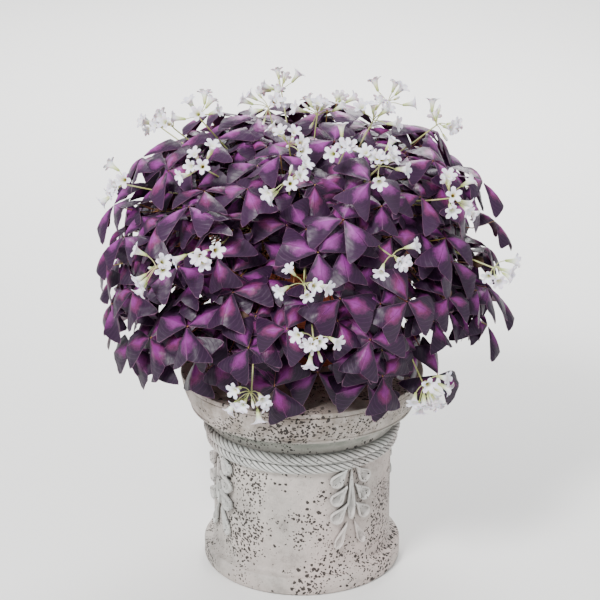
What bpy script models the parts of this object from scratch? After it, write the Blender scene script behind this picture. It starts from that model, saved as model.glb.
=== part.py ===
"""Purple shamrock in its clay pot, standing on a carved stone pedestal.

Metres, +Z up, the front faces -Y. The origin is the middle of the pedestal's resting face.
"""

import math
import random

import bmesh
import bpy
from mathutils import Matrix, Vector
from mathutils.bvhtree import BVHTree

SEED = 17
GOLDEN_ANGLE = math.radians(137.508)
SEAT_GAP = 0.0003

# Stone pedestal: heights are measured down from its top
PEDESTAL_HEIGHT = 0.286
PEDESTAL_SIDES = 32
RIM_RADIUS = 0.170
LIP_DEPTH = 0.007
GROOVE_RADIUS = 0.1655
BAND_RADIUS = 0.168
ARRIS_RADIUS = 0.157
ARRIS_DEPTH = 0.047
COVE_RADIUS = 0.1335
COVE_DEPTH = 0.073
COVE_STEPS = 2
BODY_RADIUS = 0.126
FOOT_RADIUS = 0.141
FOOT_HEIGHT = 0.026
FOOT_SLOPE = 0.008
FOOT_BEVEL = 0.004
ROPE_STRANDS = 32
UPPER_ROPE = {"depth": 0.083, "ring": 0.1315, "radius": 0.0083}
LOWER_ROPE = {"depth": 0.0985, "ring": 0.1285, "radius": 0.0075}
ROPE_SEAM = 0.002
STRAND_RELIEF = 0.0026

# Carved drops that hang from the lower rope
DROP_AZIMUTHS = (-62, 31, 118, 211)
DROP_TOP = 0.104
DROP_LENGTH = 0.132
DROP_ROWS = 3
DROP_PROUD = 0.009
LOBE_OUTLINE = ((0.0, 0.0), (0.45, 0.46), (0.92, 0.26), (0.92, -0.26), (0.45, -0.46))
LOBE_SUNK = 0.006
LOBE_LENGTH = 0.034
LOBE_WIDTH = 0.019
LOBE_LEAN = math.radians(38)
LOBE_ASIDE = 0.004
STEM_WIDTH = 0.013
TAIL_LENGTH = 0.046
TAIL_WIDTH = 0.013
TAIL_LEAN = 0.4
ROWS_SHARE = 0.62

# Clay pot: heights are measured up from the pedestal's top
PLANT_SET_BACK = 0.048
POT_SIDES = 24
POT_HEIGHT = 0.158
POT_BASE_RADIUS = 0.062
POT_COLLAR_RADIUS = 0.104
POT_RIM_RADIUS = 0.112
COLLAR_HEIGHT = 0.034
POT_WALL = 0.008
POT_FLOOR = 0.010
DRAIN_RADIUS = 0.009
SOIL_BELOW_RIM = 0.016
COLLAR_STEP = 0.004
RIM_ROUND = 0.003

# Bulbs in the soil, in rings: radius and count
BULB_RINGS = ((0.0, 1), (0.034, 5), (0.071, 10))
BULB_RADIUS = 0.0098
BULB_SIDES = 5
BULB_RISE = 0.0015
BULB_SUNK = 0.014
CROWN_RADIUS = 0.0092
CROWN_LIFT = 0.001
LEAST_RISE = 0.55
ROOT_SPACING = math.radians(20)
SCAPE_RINGS = ((0.018, 5), (0.052, 10), (0.086, 14))
SCAPE_SUNK = 0.016

# Dome of leaves: its middle is above the pedestal's top
DOME_CENTRE_HEIGHT = 0.142
DOME_RADIUS = 0.272
DOME_HALF_HEIGHT = 0.206
DOME_POWER = 2.6
DOME_LOWEST = 0.034
DOME_STEPS = 200
LEAF_COUNT = 132
LEAF_DEPTHS = (0.0, 0.010, 0.020, 0.031, 0.043, 0.056)
LEAF_SPINS = 10
LEAF_SIZES = (0.92, 1.16)
LEAN_RATIO = 0.54
LEAN_JITTER = 0.26
LEAFLET_BENDS = (-0.10, 0.14)
WINDOW_HALF_WIDTH = 0.050
WINDOW_TOP = 0.112

# Leaves that hang before the pot, over the rim: millimetres right of the axis, in front
# of it and above the pedestal's top, and the azimuth they face
FRONT_LEAVES = (
    (-36, 184, 46, -6),
    (24, 188, 54, 6),
    (84, 182, 48, 12),
)
FRONT_LEAF_LEAN = math.radians(64)
FRONT_LEAF_SIZE = 1.04
FRONT_LEAF_BENDS = (-0.10, -0.06, -0.08)

# One leaf of full size
CORNER_LENGTH = 0.0435
CORNER_SPREAD = 0.0285
NOTCH_LENGTH = 0.0415
SINUS_RADIUS = 0.0042
BLADE = 0.0009
UMBRELLA = 0.20
FOLD = 0.36
PETIOLE_RADIUS = 0.0012
PETIOLE_STEPS = 4
STALK_START = 0.03
STALK_RISE = 0.045
STALK_BOW = 0.30
STALK_OUT = 0.10
HANG_HEIGHT = 0.03
HANG_SPAN = 0.15
MOST_LEAN = math.radians(80)
OTHER_MARGIN = 0.0009
OWN_MARGIN = 0.0003

# Flowers
FLOWER_RADIUS = 0.0105
FLOWER_SINUS = 0.0062
FLOWER_LENGTH = 0.019
LOBE_RECESS = 0.0012
TUBE_DEPTH = 0.0032
TUBE_RADIUS = 0.0026
THROAT_DEPTH = 0.0045
NECK_RADIUS = 0.0011
PEDICEL = 0.020
PEDICEL_SIZES = (0.85, 1.15)
PEDICEL_RISES = (0.35, 0.55)
FLOWER_NODS = (0.1, 0.4)
SCAPE_RADIUS = 0.0014
SCAPE_STEPS = 4
KNOT_RADIUS = 0.0026
VIEW_TILT = math.radians(20)

# Umbels seen from the front, tilted by VIEW_TILT: millimetres right of the axis, millimetres above the
# middle of the pedestal's top, number of flowers, millimetres that they stand out of the dome
FRONT_UMBELS = (
    (-174, 326, 2, 14),
    (-137, 336, 3, 24),
    (-126, 262, 2, 8),
    (-234, 246, 3, 16),
    (-45, 350, 3, 22),
    (20, 338, 2, 14),
    (94, 330, 3, 20),
    (182, 330, 3, 20),
    (-17, 290, 2, 8),
    (54, 283, 3, 12),
    (98, 262, 4, 16),
    (-18, 240, 2, 10),
    (-126, 152, 2, 8),
    (-185, 134, 3, 14),
    (2, 112, 2, 10),
    (112, 148, 2, 12),
    (190, 224, 4, 16),
    (254, 136, 2, 12),
    (14, 44, 3, 4),
    (-66, -26, 4, 0),
    (160, -18, 6, 6),
)
BACK_UMBELS = 6
BACK_FLOWERS = 2
BACK_STAND_OUT = 0.014
BACK_FIRST = math.radians(105)
BACK_SPAN = math.radians(150)
BACK_HIGHEST = math.radians(34)
BACK_STEP = math.radians(21)
SIGHT_START = 0.4
SIGHT_STEP = 0.002
SIGHT_STEPS = 400
ROOT_SHARE = 0.088

COLOURS = {
    "stone": ((0.62, 0.58, 0.54), 0.85),
    "terracotta": ((0.48, 0.13, 0.05), 0.8),
    "soil": ((0.045, 0.03, 0.02), 0.95),
    "leaf": ((0.075, 0.018, 0.085), 0.45),
    "flower": ((0.86, 0.80, 0.88), 0.5),
}

UP = Vector((0, 0, 1))
TOP = Vector((0, 0, PEDESTAL_HEIGHT))
POT_FOOT = Vector((0, PLANT_SET_BACK, PEDESTAL_HEIGHT + SEAT_GAP))
SOIL_TOP = POT_FOOT.z + POT_HEIGHT - SOIL_BELOW_RIM
DOME_CENTRE = Vector((0, PLANT_SET_BACK, PEDESTAL_HEIGHT + DOME_CENTRE_HEIGHT))


def clear_scene():
    for thing in list(bpy.data.objects):
        bpy.data.objects.remove(thing)


def material(name):
    colour, roughness = COLOURS[name]
    made = bpy.data.materials.get(name) or bpy.data.materials.new(name)
    made.use_nodes = True
    shader = made.node_tree.nodes["Principled BSDF"]
    shader.inputs["Base Color"].default_value = (*colour, 1)
    shader.inputs["Roughness"].default_value = roughness
    return made


def add_object(name, verts, faces, finish, smooth_angle=None):
    """A mesh object with its faces turned out."""
    mesh = bpy.data.meshes.new(name)
    mesh.from_pydata([tuple(v) for v in verts], [], faces)
    shape = bmesh.new()
    shape.from_mesh(mesh)
    bmesh.ops.recalc_face_normals(shape, faces=shape.faces)
    if shape.calc_volume(signed=True) < 0:
        bmesh.ops.reverse_faces(shape, faces=shape.faces)
    shape.to_mesh(mesh)
    shape.free()
    mesh.materials.append(material(finish))
    if smooth_angle:
        mesh.shade_smooth()
        mesh.set_sharp_from_angle(angle=math.radians(smooth_angle))
    thing = bpy.data.objects.new(name, mesh)
    bpy.context.scene.collection.objects.link(thing)
    return thing


def lathe(profile, sides, centre):
    """Points and faces of a profile of (radius, height) turned about a vertical axis."""
    verts, rows = [], []
    for radius, height in profile:
        count = 1 if radius == 0 else sides
        rows.append(list(range(len(verts), len(verts) + count)))
        for step in range(count):
            angle = math.tau * step / sides
            verts.append(centre + Vector((radius * math.cos(angle), radius * math.sin(angle), height)))
    faces = []
    pairs = list(zip(rows, rows[1:]))
    if len(rows[0]) > 1 and len(rows[-1]) > 1:
        pairs.append((rows[-1], rows[0]))
    for low, high in pairs:
        for step in range(sides):
            turn = (step + 1) % sides
            below = [low[step % len(low)], low[turn % len(low)]]
            above = [high[turn % len(high)], high[step % len(high)]]
            faces.append(list(dict.fromkeys(below + above)))
    return verts, faces


def join(base, others, solver="EXACT", operation="UNION"):
    """Fuses the others into the base, or cuts them out of it, and removes them."""
    group = bpy.data.collections.new("operands")
    bpy.context.scene.collection.children.link(group)
    for thing in others:
        bpy.context.scene.collection.objects.unlink(thing)
        group.objects.link(thing)
    boolean = base.modifiers.new("join", "BOOLEAN")
    boolean.operand_type = "COLLECTION"
    boolean.collection = group
    boolean.operation = operation
    boolean.solver = solver
    bpy.context.view_layer.objects.active = base
    bpy.ops.object.modifier_apply(modifier=boolean.name)
    for thing in others:
        bpy.data.objects.remove(thing)
    bpy.data.collections.remove(group)
    return base


def bezier(points, t):
    a, b, c, d = points
    s = 1 - t
    return a * s**3 + b * (3 * s * s * t) + c * (3 * s * t * t) + d * t**3


def across(direction):
    """A level unit vector at right angles to a direction."""
    side = direction.cross(UP)
    if side.length < 0.05:
        side = Vector((1, 0, 0))
    return side.normalized()


def root_ring(root, start, above, radius):
    """A ring square to the way a stalk starts, turned to match the ring above it."""
    middle = sum(above, Vector()) / 3
    arms = [point - middle for point in above]
    first = arms[0] - start * arms[0].dot(start)
    first = first.normalized() if first.length > 1e-9 else across(start)
    hand = 1 if arms[0].cross(arms[1]).dot(start) > 0 else -1
    turns = [Matrix.Rotation(hand * math.tau / 3 * k, 3, start) for k in range(3)]
    return [root + turn @ first * radius for turn in turns]


def rings_along(path, radius, first_arms):
    """Three-sided rings along a path. The first ring's arms are given, and they turn with the path."""
    rings = []
    lead = first_arms[0]
    hand = None
    for place, here in enumerate(path):
        before, after = path[max(place - 1, 0)], path[min(place + 1, len(path) - 1)]
        tangent = (after - before).normalized()
        if hand is None:
            hand = 1 if first_arms[0].cross(first_arms[1]).dot(tangent) > 0 else -1
            rings.append([here + arm * radius for arm in first_arms])
            continue
        lead = (lead - tangent * lead.dot(tangent)).normalized()
        turns = [Matrix.Rotation(hand * math.tau / 3 * k, 3, tangent) for k in range(3)]
        rings.append([here + turn @ lead * radius for turn in turns])
    return rings


def stitch_rings(faces, first, count):
    """Side faces between rings of three points that lie one after another in the point list."""
    for ring in range(count - 1):
        low = first + 3 * ring
        for k in range(3):
            after = (k + 1) % 3
            faces.append((low + k, low + after, low + 3 + after))
            faces.append((low + k, low + 3 + after, low + 3 + k))


def hull_between(rings, more):
    """Faces of the tightest skin round some rings of three points and more points, open at each ring."""
    points = [point for ring in rings for point in ring] + list(more)
    shape = bmesh.new()
    for point in points:
        shape.verts.new(point)
    shape.verts.index_update()
    bmesh.ops.convex_hull(shape, input=shape.verts)
    mouths = {frozenset(range(3 * k, 3 * k + 3)) for k in range(len(rings))}
    faces = [tuple(v.index for v in face.verts) for face in shape.faces]
    shape.free()
    kept = [face for face in faces if frozenset(face) not in mouths]
    if len(faces) - len(kept) != len(rings):
        raise ValueError("a stalk's root isn't a face of its knot")
    return points, kept


def grown_together(name, branches, more, finish):
    """One solid of branches that end in open rings of three points, and the skin between those rings."""
    points, faces = hull_between([verts[-3:] for verts, _ in branches], more)
    verts = list(points)
    faces = list(faces)
    for place, (branch, branch_faces) in enumerate(branches):
        shift = len(verts)
        last = len(branch) - 3
        verts += branch[:last]
        for face in branch_faces:
            faces.append(tuple(3 * place + v - last if v >= last else shift + v for v in face))
    return add_object(name, verts, faces, finish)


def push_apart(directions, least, rounds=400):
    """Turns upward unit vectors away from each other until all pairs are a least angle apart."""
    directions = [direction.normalized() for direction in directions]
    for _ in range(rounds):
        settled = True
        for i in range(len(directions)):
            for j in range(i):
                a, b = directions[i], directions[j]
                if a.angle(b) < least:
                    settled = False
                    away = (a - b).normalized() if (a - b).length > 1e-6 else across(a)
                    directions[i] = (a + away * 0.02).normalized()
                    directions[j] = (b - away * 0.02).normalized()
        for k, direction in enumerate(directions):
            if direction.z < LEAST_RISE:
                flat = Vector((direction.x, direction.y, 0)).normalized()
                directions[k] = flat * math.sqrt(1 - LEAST_RISE**2) + UP * LEAST_RISE
        if settled:
            break
    return directions


# Stone pedestal


def foot_and_body():
    """Radius and height from the middle of the resting face up to the foot of the ropes."""
    return [
        (0, 0),
        (FOOT_RADIUS, 0),
        (FOOT_RADIUS, FOOT_HEIGHT - FOOT_BEVEL),
        (FOOT_RADIUS - FOOT_BEVEL, FOOT_HEIGHT),
        (BODY_RADIUS, FOOT_HEIGHT + FOOT_SLOPE),
        (BODY_RADIUS, PEDESTAL_HEIGHT - LOWER_ROPE["depth"] - LOWER_ROPE["radius"] - ROPE_SEAM),
    ]


def cove_and_rim():
    """Radius and height from the top of the ropes, up the cove and the band, to the middle of the top."""
    top = PEDESTAL_HEIGHT
    cove = []
    for step in range(COVE_STEPS + 1):
        turn = math.pi / 2 * step / COVE_STEPS
        radius = COVE_RADIUS + (ARRIS_RADIUS - COVE_RADIUS) * (1 - math.cos(turn))
        cove.append((radius, top - COVE_DEPTH + (COVE_DEPTH - ARRIS_DEPTH) * math.sin(turn)))
    return [
        *cove,
        (BAND_RADIUS, top - LIP_DEPTH * 1.6),
        (GROOVE_RADIUS, top - LIP_DEPTH * 1.3),
        (RIM_RADIUS, top - LIP_DEPTH),
        (RIM_RADIUS, top),
        (0, top),
    ]


def rope_rows():
    """Rows of both ropes from below: height, radius, and how far the even and the odd points stand out."""
    rows = []
    for rope in (LOWER_ROPE, UPPER_ROPE):
        middle = PEDESTAL_HEIGHT - rope["depth"]
        reach = rope["ring"] + rope["radius"] * math.cos(math.radians(30))
        lift = rope["radius"] * math.sin(math.radians(30))
        rows.append((middle - rope["radius"], rope["ring"] - ROPE_SEAM, 0, 0))
        rows.append((middle - lift, reach, -STRAND_RELIEF, 0))
        rows.append((middle + lift, reach, 0, -STRAND_RELIEF))
    rows.append((PEDESTAL_HEIGHT - COVE_DEPTH - ROPE_SEAM, COVE_RADIUS, 0, 0))
    return rows


def turned_stone():
    """The pedestal's turned body. Its ropes have two points to a strand, so their strands lean."""
    verts, rows = [], []

    def add_row(height, radius, count, even=0.0, odd=0.0):
        rows.append(list(range(len(verts), len(verts) + count)))
        for step in range(count):
            angle = math.tau * step / count
            reach = radius + (odd if step % 2 else even)
            verts.append(Vector((reach * math.cos(angle), reach * math.sin(angle), height)))

    for radius, height in foot_and_body():
        add_row(height, radius, PEDESTAL_SIDES if radius else 1)
    for height, radius, even, odd in rope_rows():
        add_row(height, radius, 2 * ROPE_STRANDS, even, odd)
    for radius, height in cove_and_rim():
        add_row(height, radius, PEDESTAL_SIDES if radius else 1)
    faces = []
    for low, high in zip(rows, rows[1:]):
        most = max(len(low), len(high))
        for step in range(most):
            after = (step + 1) % most
            a, b = low[step * len(low) // most], low[after * len(low) // most]
            d, c = high[step * len(high) // most], high[after * len(high) // most]
            for corners in ((a, b, d), (b, c, d)):
                if len(set(corners)) == 3:
                    faces.append(corners)
    return verts, faces


def lobe(name, azimuth, side, height, length, width, lean, proud):
    """One carved teardrop, pointed at its upper end, half sunk in the stone."""
    out = Vector((math.sin(azimuth), -math.cos(azimuth), 0))
    right = Vector((math.cos(azimuth), math.sin(azimuth), 0))
    verts = []
    for along, wide in LOBE_OUTLINE:
        u = side + along * length * math.sin(lean) + wide * width * math.cos(lean)
        w = height - along * length * math.cos(lean) + wide * width * math.sin(lean)
        bend = u / BODY_RADIUS
        radial = out * math.cos(bend) + right * math.sin(bend)
        verts.append((radial, w))
    count = len(LOBE_OUTLINE)
    points = [radial * (BODY_RADIUS + proud * 0.45) + UP * w for radial, w in verts]
    points += [radial * (BODY_RADIUS - LOBE_SUNK) + UP * w for radial, w in verts]
    crown = sum((radial for radial, _ in verts), Vector()).normalized()
    middle = sum(w for _, w in verts) / count
    points += [crown * (BODY_RADIUS + proud) + UP * middle, crown * (BODY_RADIUS - LOBE_SUNK) + UP * middle]
    faces = []
    for k in range(count):
        after = (k + 1) % count
        faces.append((k, after, 2 * count))
        faces.append((count + after, count + k, 2 * count + 1))
        faces.append((k, count + k, count + after))
        faces.append((k, count + after, after))
    return add_object(name, points, faces, "stone")


def drop(index, azimuth_degrees):
    """A carved drop: pairs of teardrops in rows down a stem, with narrow leaves at its foot."""
    azimuth = math.radians(azimuth_degrees)
    top = PEDESTAL_HEIGHT - DROP_TOP
    rows_end = DROP_LENGTH * ROWS_SHARE
    stem = (azimuth, 0, top + 0.004, DROP_LENGTH * 0.72, STEM_WIDTH, 0, DROP_PROUD * 0.9)
    pieces = [lobe(f"stem_{index}", *stem)]
    for level in range(DROP_ROWS):
        height = top + 0.002 - rows_end * level / DROP_ROWS
        for hand in (-1, 1):
            form = (azimuth, hand * LOBE_ASIDE, height, LOBE_LENGTH, LOBE_WIDTH, hand * LOBE_LEAN, DROP_PROUD)
            pieces.append(lobe(f"lobe_{index}_{level}_{hand}", *form))
    for hand in (-1, 1):
        form = (azimuth, hand * LOBE_ASIDE, top - rows_end, TAIL_LENGTH, TAIL_WIDTH, hand * TAIL_LEAN)
        pieces.append(lobe(f"tail_{index}_{hand}", *form, DROP_PROUD * 0.8))
    return pieces


def stone_pedestal():
    verts, faces = turned_stone()
    body = add_object("stone_pedestal", verts, faces, "stone", 32)
    relief = []
    for index, azimuth in enumerate(DROP_AZIMUTHS):
        relief += drop(index, azimuth)
    return join(body, relief)


# Clay pot and its soil


def terracotta_pot():
    inner_floor = POT_BASE_RADIUS - POT_WALL
    profile = [
        (DRAIN_RADIUS, 0),
        (POT_BASE_RADIUS, 0),
        (POT_COLLAR_RADIUS - COLLAR_STEP, POT_HEIGHT - COLLAR_HEIGHT),
        (POT_COLLAR_RADIUS + COLLAR_STEP, POT_HEIGHT - COLLAR_HEIGHT),
        (POT_RIM_RADIUS, POT_HEIGHT - RIM_ROUND),
        (POT_RIM_RADIUS - RIM_ROUND, POT_HEIGHT),
        (POT_RIM_RADIUS - POT_WALL, POT_HEIGHT),
        (POT_COLLAR_RADIUS - POT_WALL, POT_HEIGHT - COLLAR_HEIGHT),
        (inner_floor, POT_FLOOR),
        (DRAIN_RADIUS, POT_FLOOR),
    ]
    verts, faces = lathe(profile, POT_SIDES, POT_FOOT)
    return add_object("terracotta_pot", verts, faces, "terracotta", 32)


def pot_inner_radius(height):
    """The pot's inner radius at a height above its foot."""
    collar = POT_HEIGHT - COLLAR_HEIGHT
    if height >= collar:
        low, high = POT_COLLAR_RADIUS - POT_WALL, POT_RIM_RADIUS - POT_WALL
        return low + (high - low) * (height - collar) / COLLAR_HEIGHT
    low, high = POT_BASE_RADIUS - POT_WALL, POT_COLLAR_RADIUS - POT_WALL
    return low + (high - low) * (height - POT_FLOOR) / (collar - POT_FLOOR)


def prism(name, centre, radius, sides, low, high, finish, turn=0.0):
    verts = []
    for height in (low, high):
        for k in range(sides):
            angle = turn + math.tau * k / sides
            x, y = centre.x + radius * math.cos(angle), centre.y + radius * math.sin(angle)
            verts.append(Vector((x, y, height)))
    faces = [tuple(range(sides)), tuple(range(sides, 2 * sides))]
    for k in range(sides):
        after = (k + 1) % sides
        faces.append((k, after, sides + after, sides + k))
    return add_object(name, verts, faces, finish)


def root_spots(rings):
    spots = []
    for number, (radius, count) in enumerate(rings):
        for k in range(count):
            angle = math.tau * (k + 0.5 * (number % 2)) / count
            x, y = radius * math.cos(angle), PLANT_SET_BACK + radius * math.sin(angle)
            spots.append(Vector((x, y, SOIL_TOP)))
    return spots


def soil(bulbs, stems):
    """The soil, with a plain hole for each bulb and each flower stem."""
    gap = 2 * SEAT_GAP
    top = SOIL_TOP - POT_FOOT.z
    collar = POT_HEIGHT - COLLAR_HEIGHT
    bottom = POT_FLOOR + SEAT_GAP
    profile = [
        (0, bottom),
        (pot_inner_radius(bottom) - gap, bottom),
        (pot_inner_radius(collar) - gap, collar),
        (pot_inner_radius(top) - gap, top),
        (0, top),
    ]
    verts, faces = lathe(profile, POT_SIDES, POT_FOOT)
    body = add_object("soil", verts, faces, "soil")
    holes = []
    for k, spot in enumerate(bulbs):
        low = SOIL_TOP - BULB_SUNK - SEAT_GAP
        wide = BULB_RADIUS + gap / math.cos(math.pi / BULB_SIDES)
        holes.append(prism(f"bulb_hole_{k}", spot, wide, BULB_SIDES, low, SOIL_TOP + 0.01, "soil"))
    for k, spot in enumerate(stems):
        low = SOIL_TOP - SCAPE_SUNK - SEAT_GAP
        wide = SCAPE_RADIUS + gap * 2
        holes.append(prism(f"stem_hole_{k}", spot, wide, 3, low, SOIL_TOP + 0.01, "soil"))
    return join(body, holes, operation="DIFFERENCE")


# Where leaves and flowers stand


def dome_point(azimuth, polar):
    """A point of the dome and its outward normal. The polar angle is 0 at the top."""
    s, c = math.sin(polar), math.cos(polar)
    power = DOME_POWER
    reach = ((abs(s) / DOME_RADIUS) ** power + (abs(c) / DOME_HALF_HEIGHT) ** power) ** (-1 / power)
    radial, height = reach * s, reach * c
    slope_out = abs(radial) ** (power - 1) / DOME_RADIUS**power
    slope_up = math.copysign(abs(height) ** (power - 1) / DOME_HALF_HEIGHT**power, height)
    out = Vector((math.sin(azimuth), -math.cos(azimuth), 0))
    normal = (out * slope_out + UP * slope_up).normalized()
    return DOME_CENTRE + out * radial + UP * height, normal


def lowest_polar():
    for step in range(DOME_STEPS):
        polar = math.pi * step / DOME_STEPS
        if dome_point(0, polar)[0].z < PEDESTAL_HEIGHT + DOME_LOWEST:
            return polar
    return math.pi


def even_polars(count):
    """Polar angles that share the dome's surface evenly."""
    last = lowest_polar()
    areas, total = [], 0.0
    before = dome_point(0, 0)[0]
    for step in range(1, DOME_STEPS + 1):
        polar = last * step / DOME_STEPS
        here = dome_point(0, polar)[0]
        radius = math.hypot(here.x, here.y - PLANT_SET_BACK)
        total += radius * (here - before).length
        areas.append((total, polar))
        before = here
    polars = []
    for k in range(count):
        wanted = total * (k + 0.5) / count
        polars.append(next(polar for area, polar in areas if area >= wanted))
    return polars


def leaf_frame(azimuth, polar, lean_jitter):
    """Where a leaf's hub lies on the dome, which way its upper face looks, and the dome's own normal."""
    point, dome_normal = dome_point(azimuth, polar)
    out = Vector((math.sin(azimuth), -math.cos(azimuth), 0))
    lean = min(polar * LEAN_RATIO, MOST_LEAN) + lean_jitter[0]
    normal = out * math.sin(lean) + UP * math.cos(lean)
    turn = Matrix.Rotation(lean_jitter[1], 3, dome_normal.cross(UP).normalized() + dome_normal)
    return point, (turn @ normal).normalized(), dome_normal


def stalk_path(root, start, hub, normal, steps):
    """A stalk leaves the soil, bows over the pot's rim and meets the hub from inside. Hub first."""
    reach = (hub - root).length
    flat = Vector((hub.x - root.x, hub.y - root.y, 0))
    rise = start * STALK_START + UP * (STALK_RISE + STALK_BOW * reach) + flat * STALK_OUT
    hang = max(0.0, (SOIL_TOP + HANG_HEIGHT - hub.z) / HANG_SPAN)
    arrive = (normal - UP * min(1.3, hang * 0.9)).normalized()
    handles = (root, root + rise, hub - arrive * (STALK_BOW * reach), hub)
    return [bezier(handles, 1 - k / steps) for k in range(steps + 1)]


def leaf_shape(root, start, hub, normal, spin, size, bends, grow=0.0):
    """Three folded leaflets on a hub, and their stalk. It is open at its root, a ring of three points."""
    right = across(normal)
    forward = normal.cross(right)
    blade = BLADE + 2 * grow
    top = []
    arms = []
    for k in range(3):
        angle = spin + math.tau / 3 * k
        along = right * math.cos(angle) + forward * math.sin(angle)
        aside = normal.cross(along)
        droop = UMBRELLA + bends[k]
        for wide in (-CORNER_SPREAD, 0, CORNER_SPREAD):
            length = CORNER_LENGTH if wide else NOTCH_LENGTH
            sink = length * droop + abs(wide) * FOLD
            top.append(hub + (along * length + aside * wide - normal * sink) * size + normal * grow)
        angle += math.tau / 6
        between = right * math.cos(angle) + forward * math.sin(angle)
        top.append(hub + (between * SINUS_RADIUS - normal * SINUS_RADIUS * UMBRELLA) * size + normal * grow)
        arms.append(between)
    count = len(top)
    below = [point - normal * blade for point in top]
    verts = top + below + [hub + normal * grow]
    centre = 2 * count
    faces = []
    for k in range(count):
        after = (k + 1) % count
        faces.append((centre, k, after))
        faces.append((k, count + k, count + after))
        faces.append((k, count + after, after))
    path = stalk_path(root, start, hub - normal * blade, normal, PETIOLE_STEPS)
    rings = rings_along(path, PETIOLE_RADIUS + grow, arms)
    rings[-1] = root_ring(root, start, rings[-1], PETIOLE_RADIUS)
    first = len(verts)
    for ring in rings:
        verts += ring
    for k in range(3):
        before = first + (k - 1) % 3
        here = first + k
        sinus = count + (4 * k - 1) % count
        left, notch, right_corner, next_sinus = (count + 4 * k + j for j in range(4))
        faces += [
            (before, left, sinus),
            (before, notch, left),
            (before, here, notch),
            (here, right_corner, notch),
            (here, next_sinus, right_corner),
        ]
    stitch_rings(faces, first, len(rings))
    return verts, faces


def flower_shape(root, start, base, facing, spin, grow=0.0):
    """A five-lobed funnel and its stalk back to the umbel's knot, open at its root."""
    right = across(facing)
    forward = facing.cross(right)
    mouth = base + facing * FLOWER_LENGTH
    verts = []
    for k in range(10):
        radius = (FLOWER_RADIUS if k % 2 == 0 else FLOWER_SINUS) + grow
        angle = spin + math.tau * k / 10
        lift = facing * (0.0 if k % 2 == 0 else -LOBE_RECESS)
        verts.append(mouth + lift + (right * math.cos(angle) + forward * math.sin(angle)) * radius)
    verts.append(mouth - facing * THROAT_DEPTH)
    faces = [(10, k, (k + 1) % 10) for k in range(10)]
    arms = []
    for k in range(3):
        angle = spin + math.tau * k / 3
        arms.append(right * math.cos(angle) + forward * math.sin(angle))
    tube = mouth - facing * (THROAT_DEPTH + TUBE_DEPTH)
    verts += [tube + arm * (TUBE_RADIUS + grow) for arm in arms]
    bounds = (0, 3, 7, 10)
    for k in range(3):
        after = (k + 1) % 3
        for step in range(bounds[k], bounds[k + 1]):
            faces.append((11 + k, (step + 1) % 10, step))
        faces.append((11 + k, 11 + after, bounds[k + 1] % 10))
    rings = [[base + arm * (NECK_RADIUS + grow) for arm in arms]]
    rings.append(root_ring(root, start, rings[0], NECK_RADIUS))
    for ring in rings:
        verts += ring
    stitch_rings(faces, 11, 3)
    return verts, faces


def scape_shape(root, tip, lean, grow=0.0):
    """A flower stem that stands straight in its hole, open at its top, a ring of three points."""
    path = stalk_path(root, UP, tip, lean, SCAPE_STEPS)
    path.reverse()
    level = [Vector((math.cos(math.tau * k / 3), math.sin(math.tau * k / 3), 0)) for k in range(3)]
    rings = [[root - UP * SCAPE_SUNK + arm * (SCAPE_RADIUS + grow) for arm in level]]
    rings += rings_along(path, SCAPE_RADIUS + grow, level)
    verts = [point for ring in rings for point in ring]
    faces = [(0, 1, 2)]
    stitch_rings(faces, 0, len(rings))
    return verts, faces


def tree_of(verts, faces):
    return BVHTree.FromPolygons([tuple(v) for v in verts], faces)


def sphere_of(verts):
    low = Vector([min(v[k] for v in verts) for k in range(3)])
    high = Vector([max(v[k] for v in verts) for k in range(3)])
    return (low + high) / 2, (high - low).length / 2


def crosses_itself(verts, faces):
    tree = tree_of(verts, faces)
    return any(not set(faces[a]) & set(faces[b]) for a, b in tree.overlap(tree))


class Placed:
    """The solids that stand already, for testing that a new one is clear of them."""

    def __init__(self):
        self.solids = []

    def add(self, owner, verts, faces):
        self.solids.append((owner, tree_of(verts, faces), *sphere_of(verts)))

    def blocks(self, owner, wide, close):
        """Whether a wide form meets another owner's solid, or a close form meets its own owner's."""
        wide_tree, close_tree = tree_of(*wide), tree_of(*close)
        middle, radius = sphere_of(wide[0])
        for other, solid, centre, reach in self.solids:
            if (centre - middle).length > radius + reach:
                continue
            if (close_tree if other == owner else wide_tree).overlap(solid):
                return True
        return False


def sight_point(right_mm, up_mm, stand_out):
    """Where the front view's line of sight meets the dome."""
    toward = Vector((0, -math.cos(VIEW_TILT), math.sin(VIEW_TILT)))
    screen_up = Vector((0, math.sin(VIEW_TILT), math.cos(VIEW_TILT)))
    start = TOP + Vector((right_mm / 1000, 0, 0)) + screen_up * (up_mm / 1000)
    scale = 1 + stand_out / DOME_RADIUS
    best = None
    for step in range(SIGHT_STEPS):
        point = start + toward * (SIGHT_START - SIGHT_STEP * step)
        offset = point - DOME_CENTRE
        flat = math.hypot(offset.x, offset.y) / (DOME_RADIUS * scale)
        high = abs(offset.z) / (DOME_HALF_HEIGHT * scale)
        level = flat**DOME_POWER + high**DOME_POWER
        if level <= 1:
            return point
        if best is None or level < best[0]:
            best = (level, point)
    return best[1]


def umbel_places():
    places = []
    for right_mm, up_mm, flowers, out_mm in FRONT_UMBELS:
        places.append((sight_point(right_mm, up_mm, out_mm / 1000), flowers))
    for k in range(BACK_UMBELS):
        azimuth = BACK_FIRST + BACK_SPAN * (k + 0.5) / BACK_UMBELS
        polar = BACK_HIGHEST + BACK_STEP * ((k * 2) % 3)
        point, normal = dome_point(azimuth, polar)
        places.append((point + normal * BACK_STAND_OUT, BACK_FLOWERS))
    return places


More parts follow.
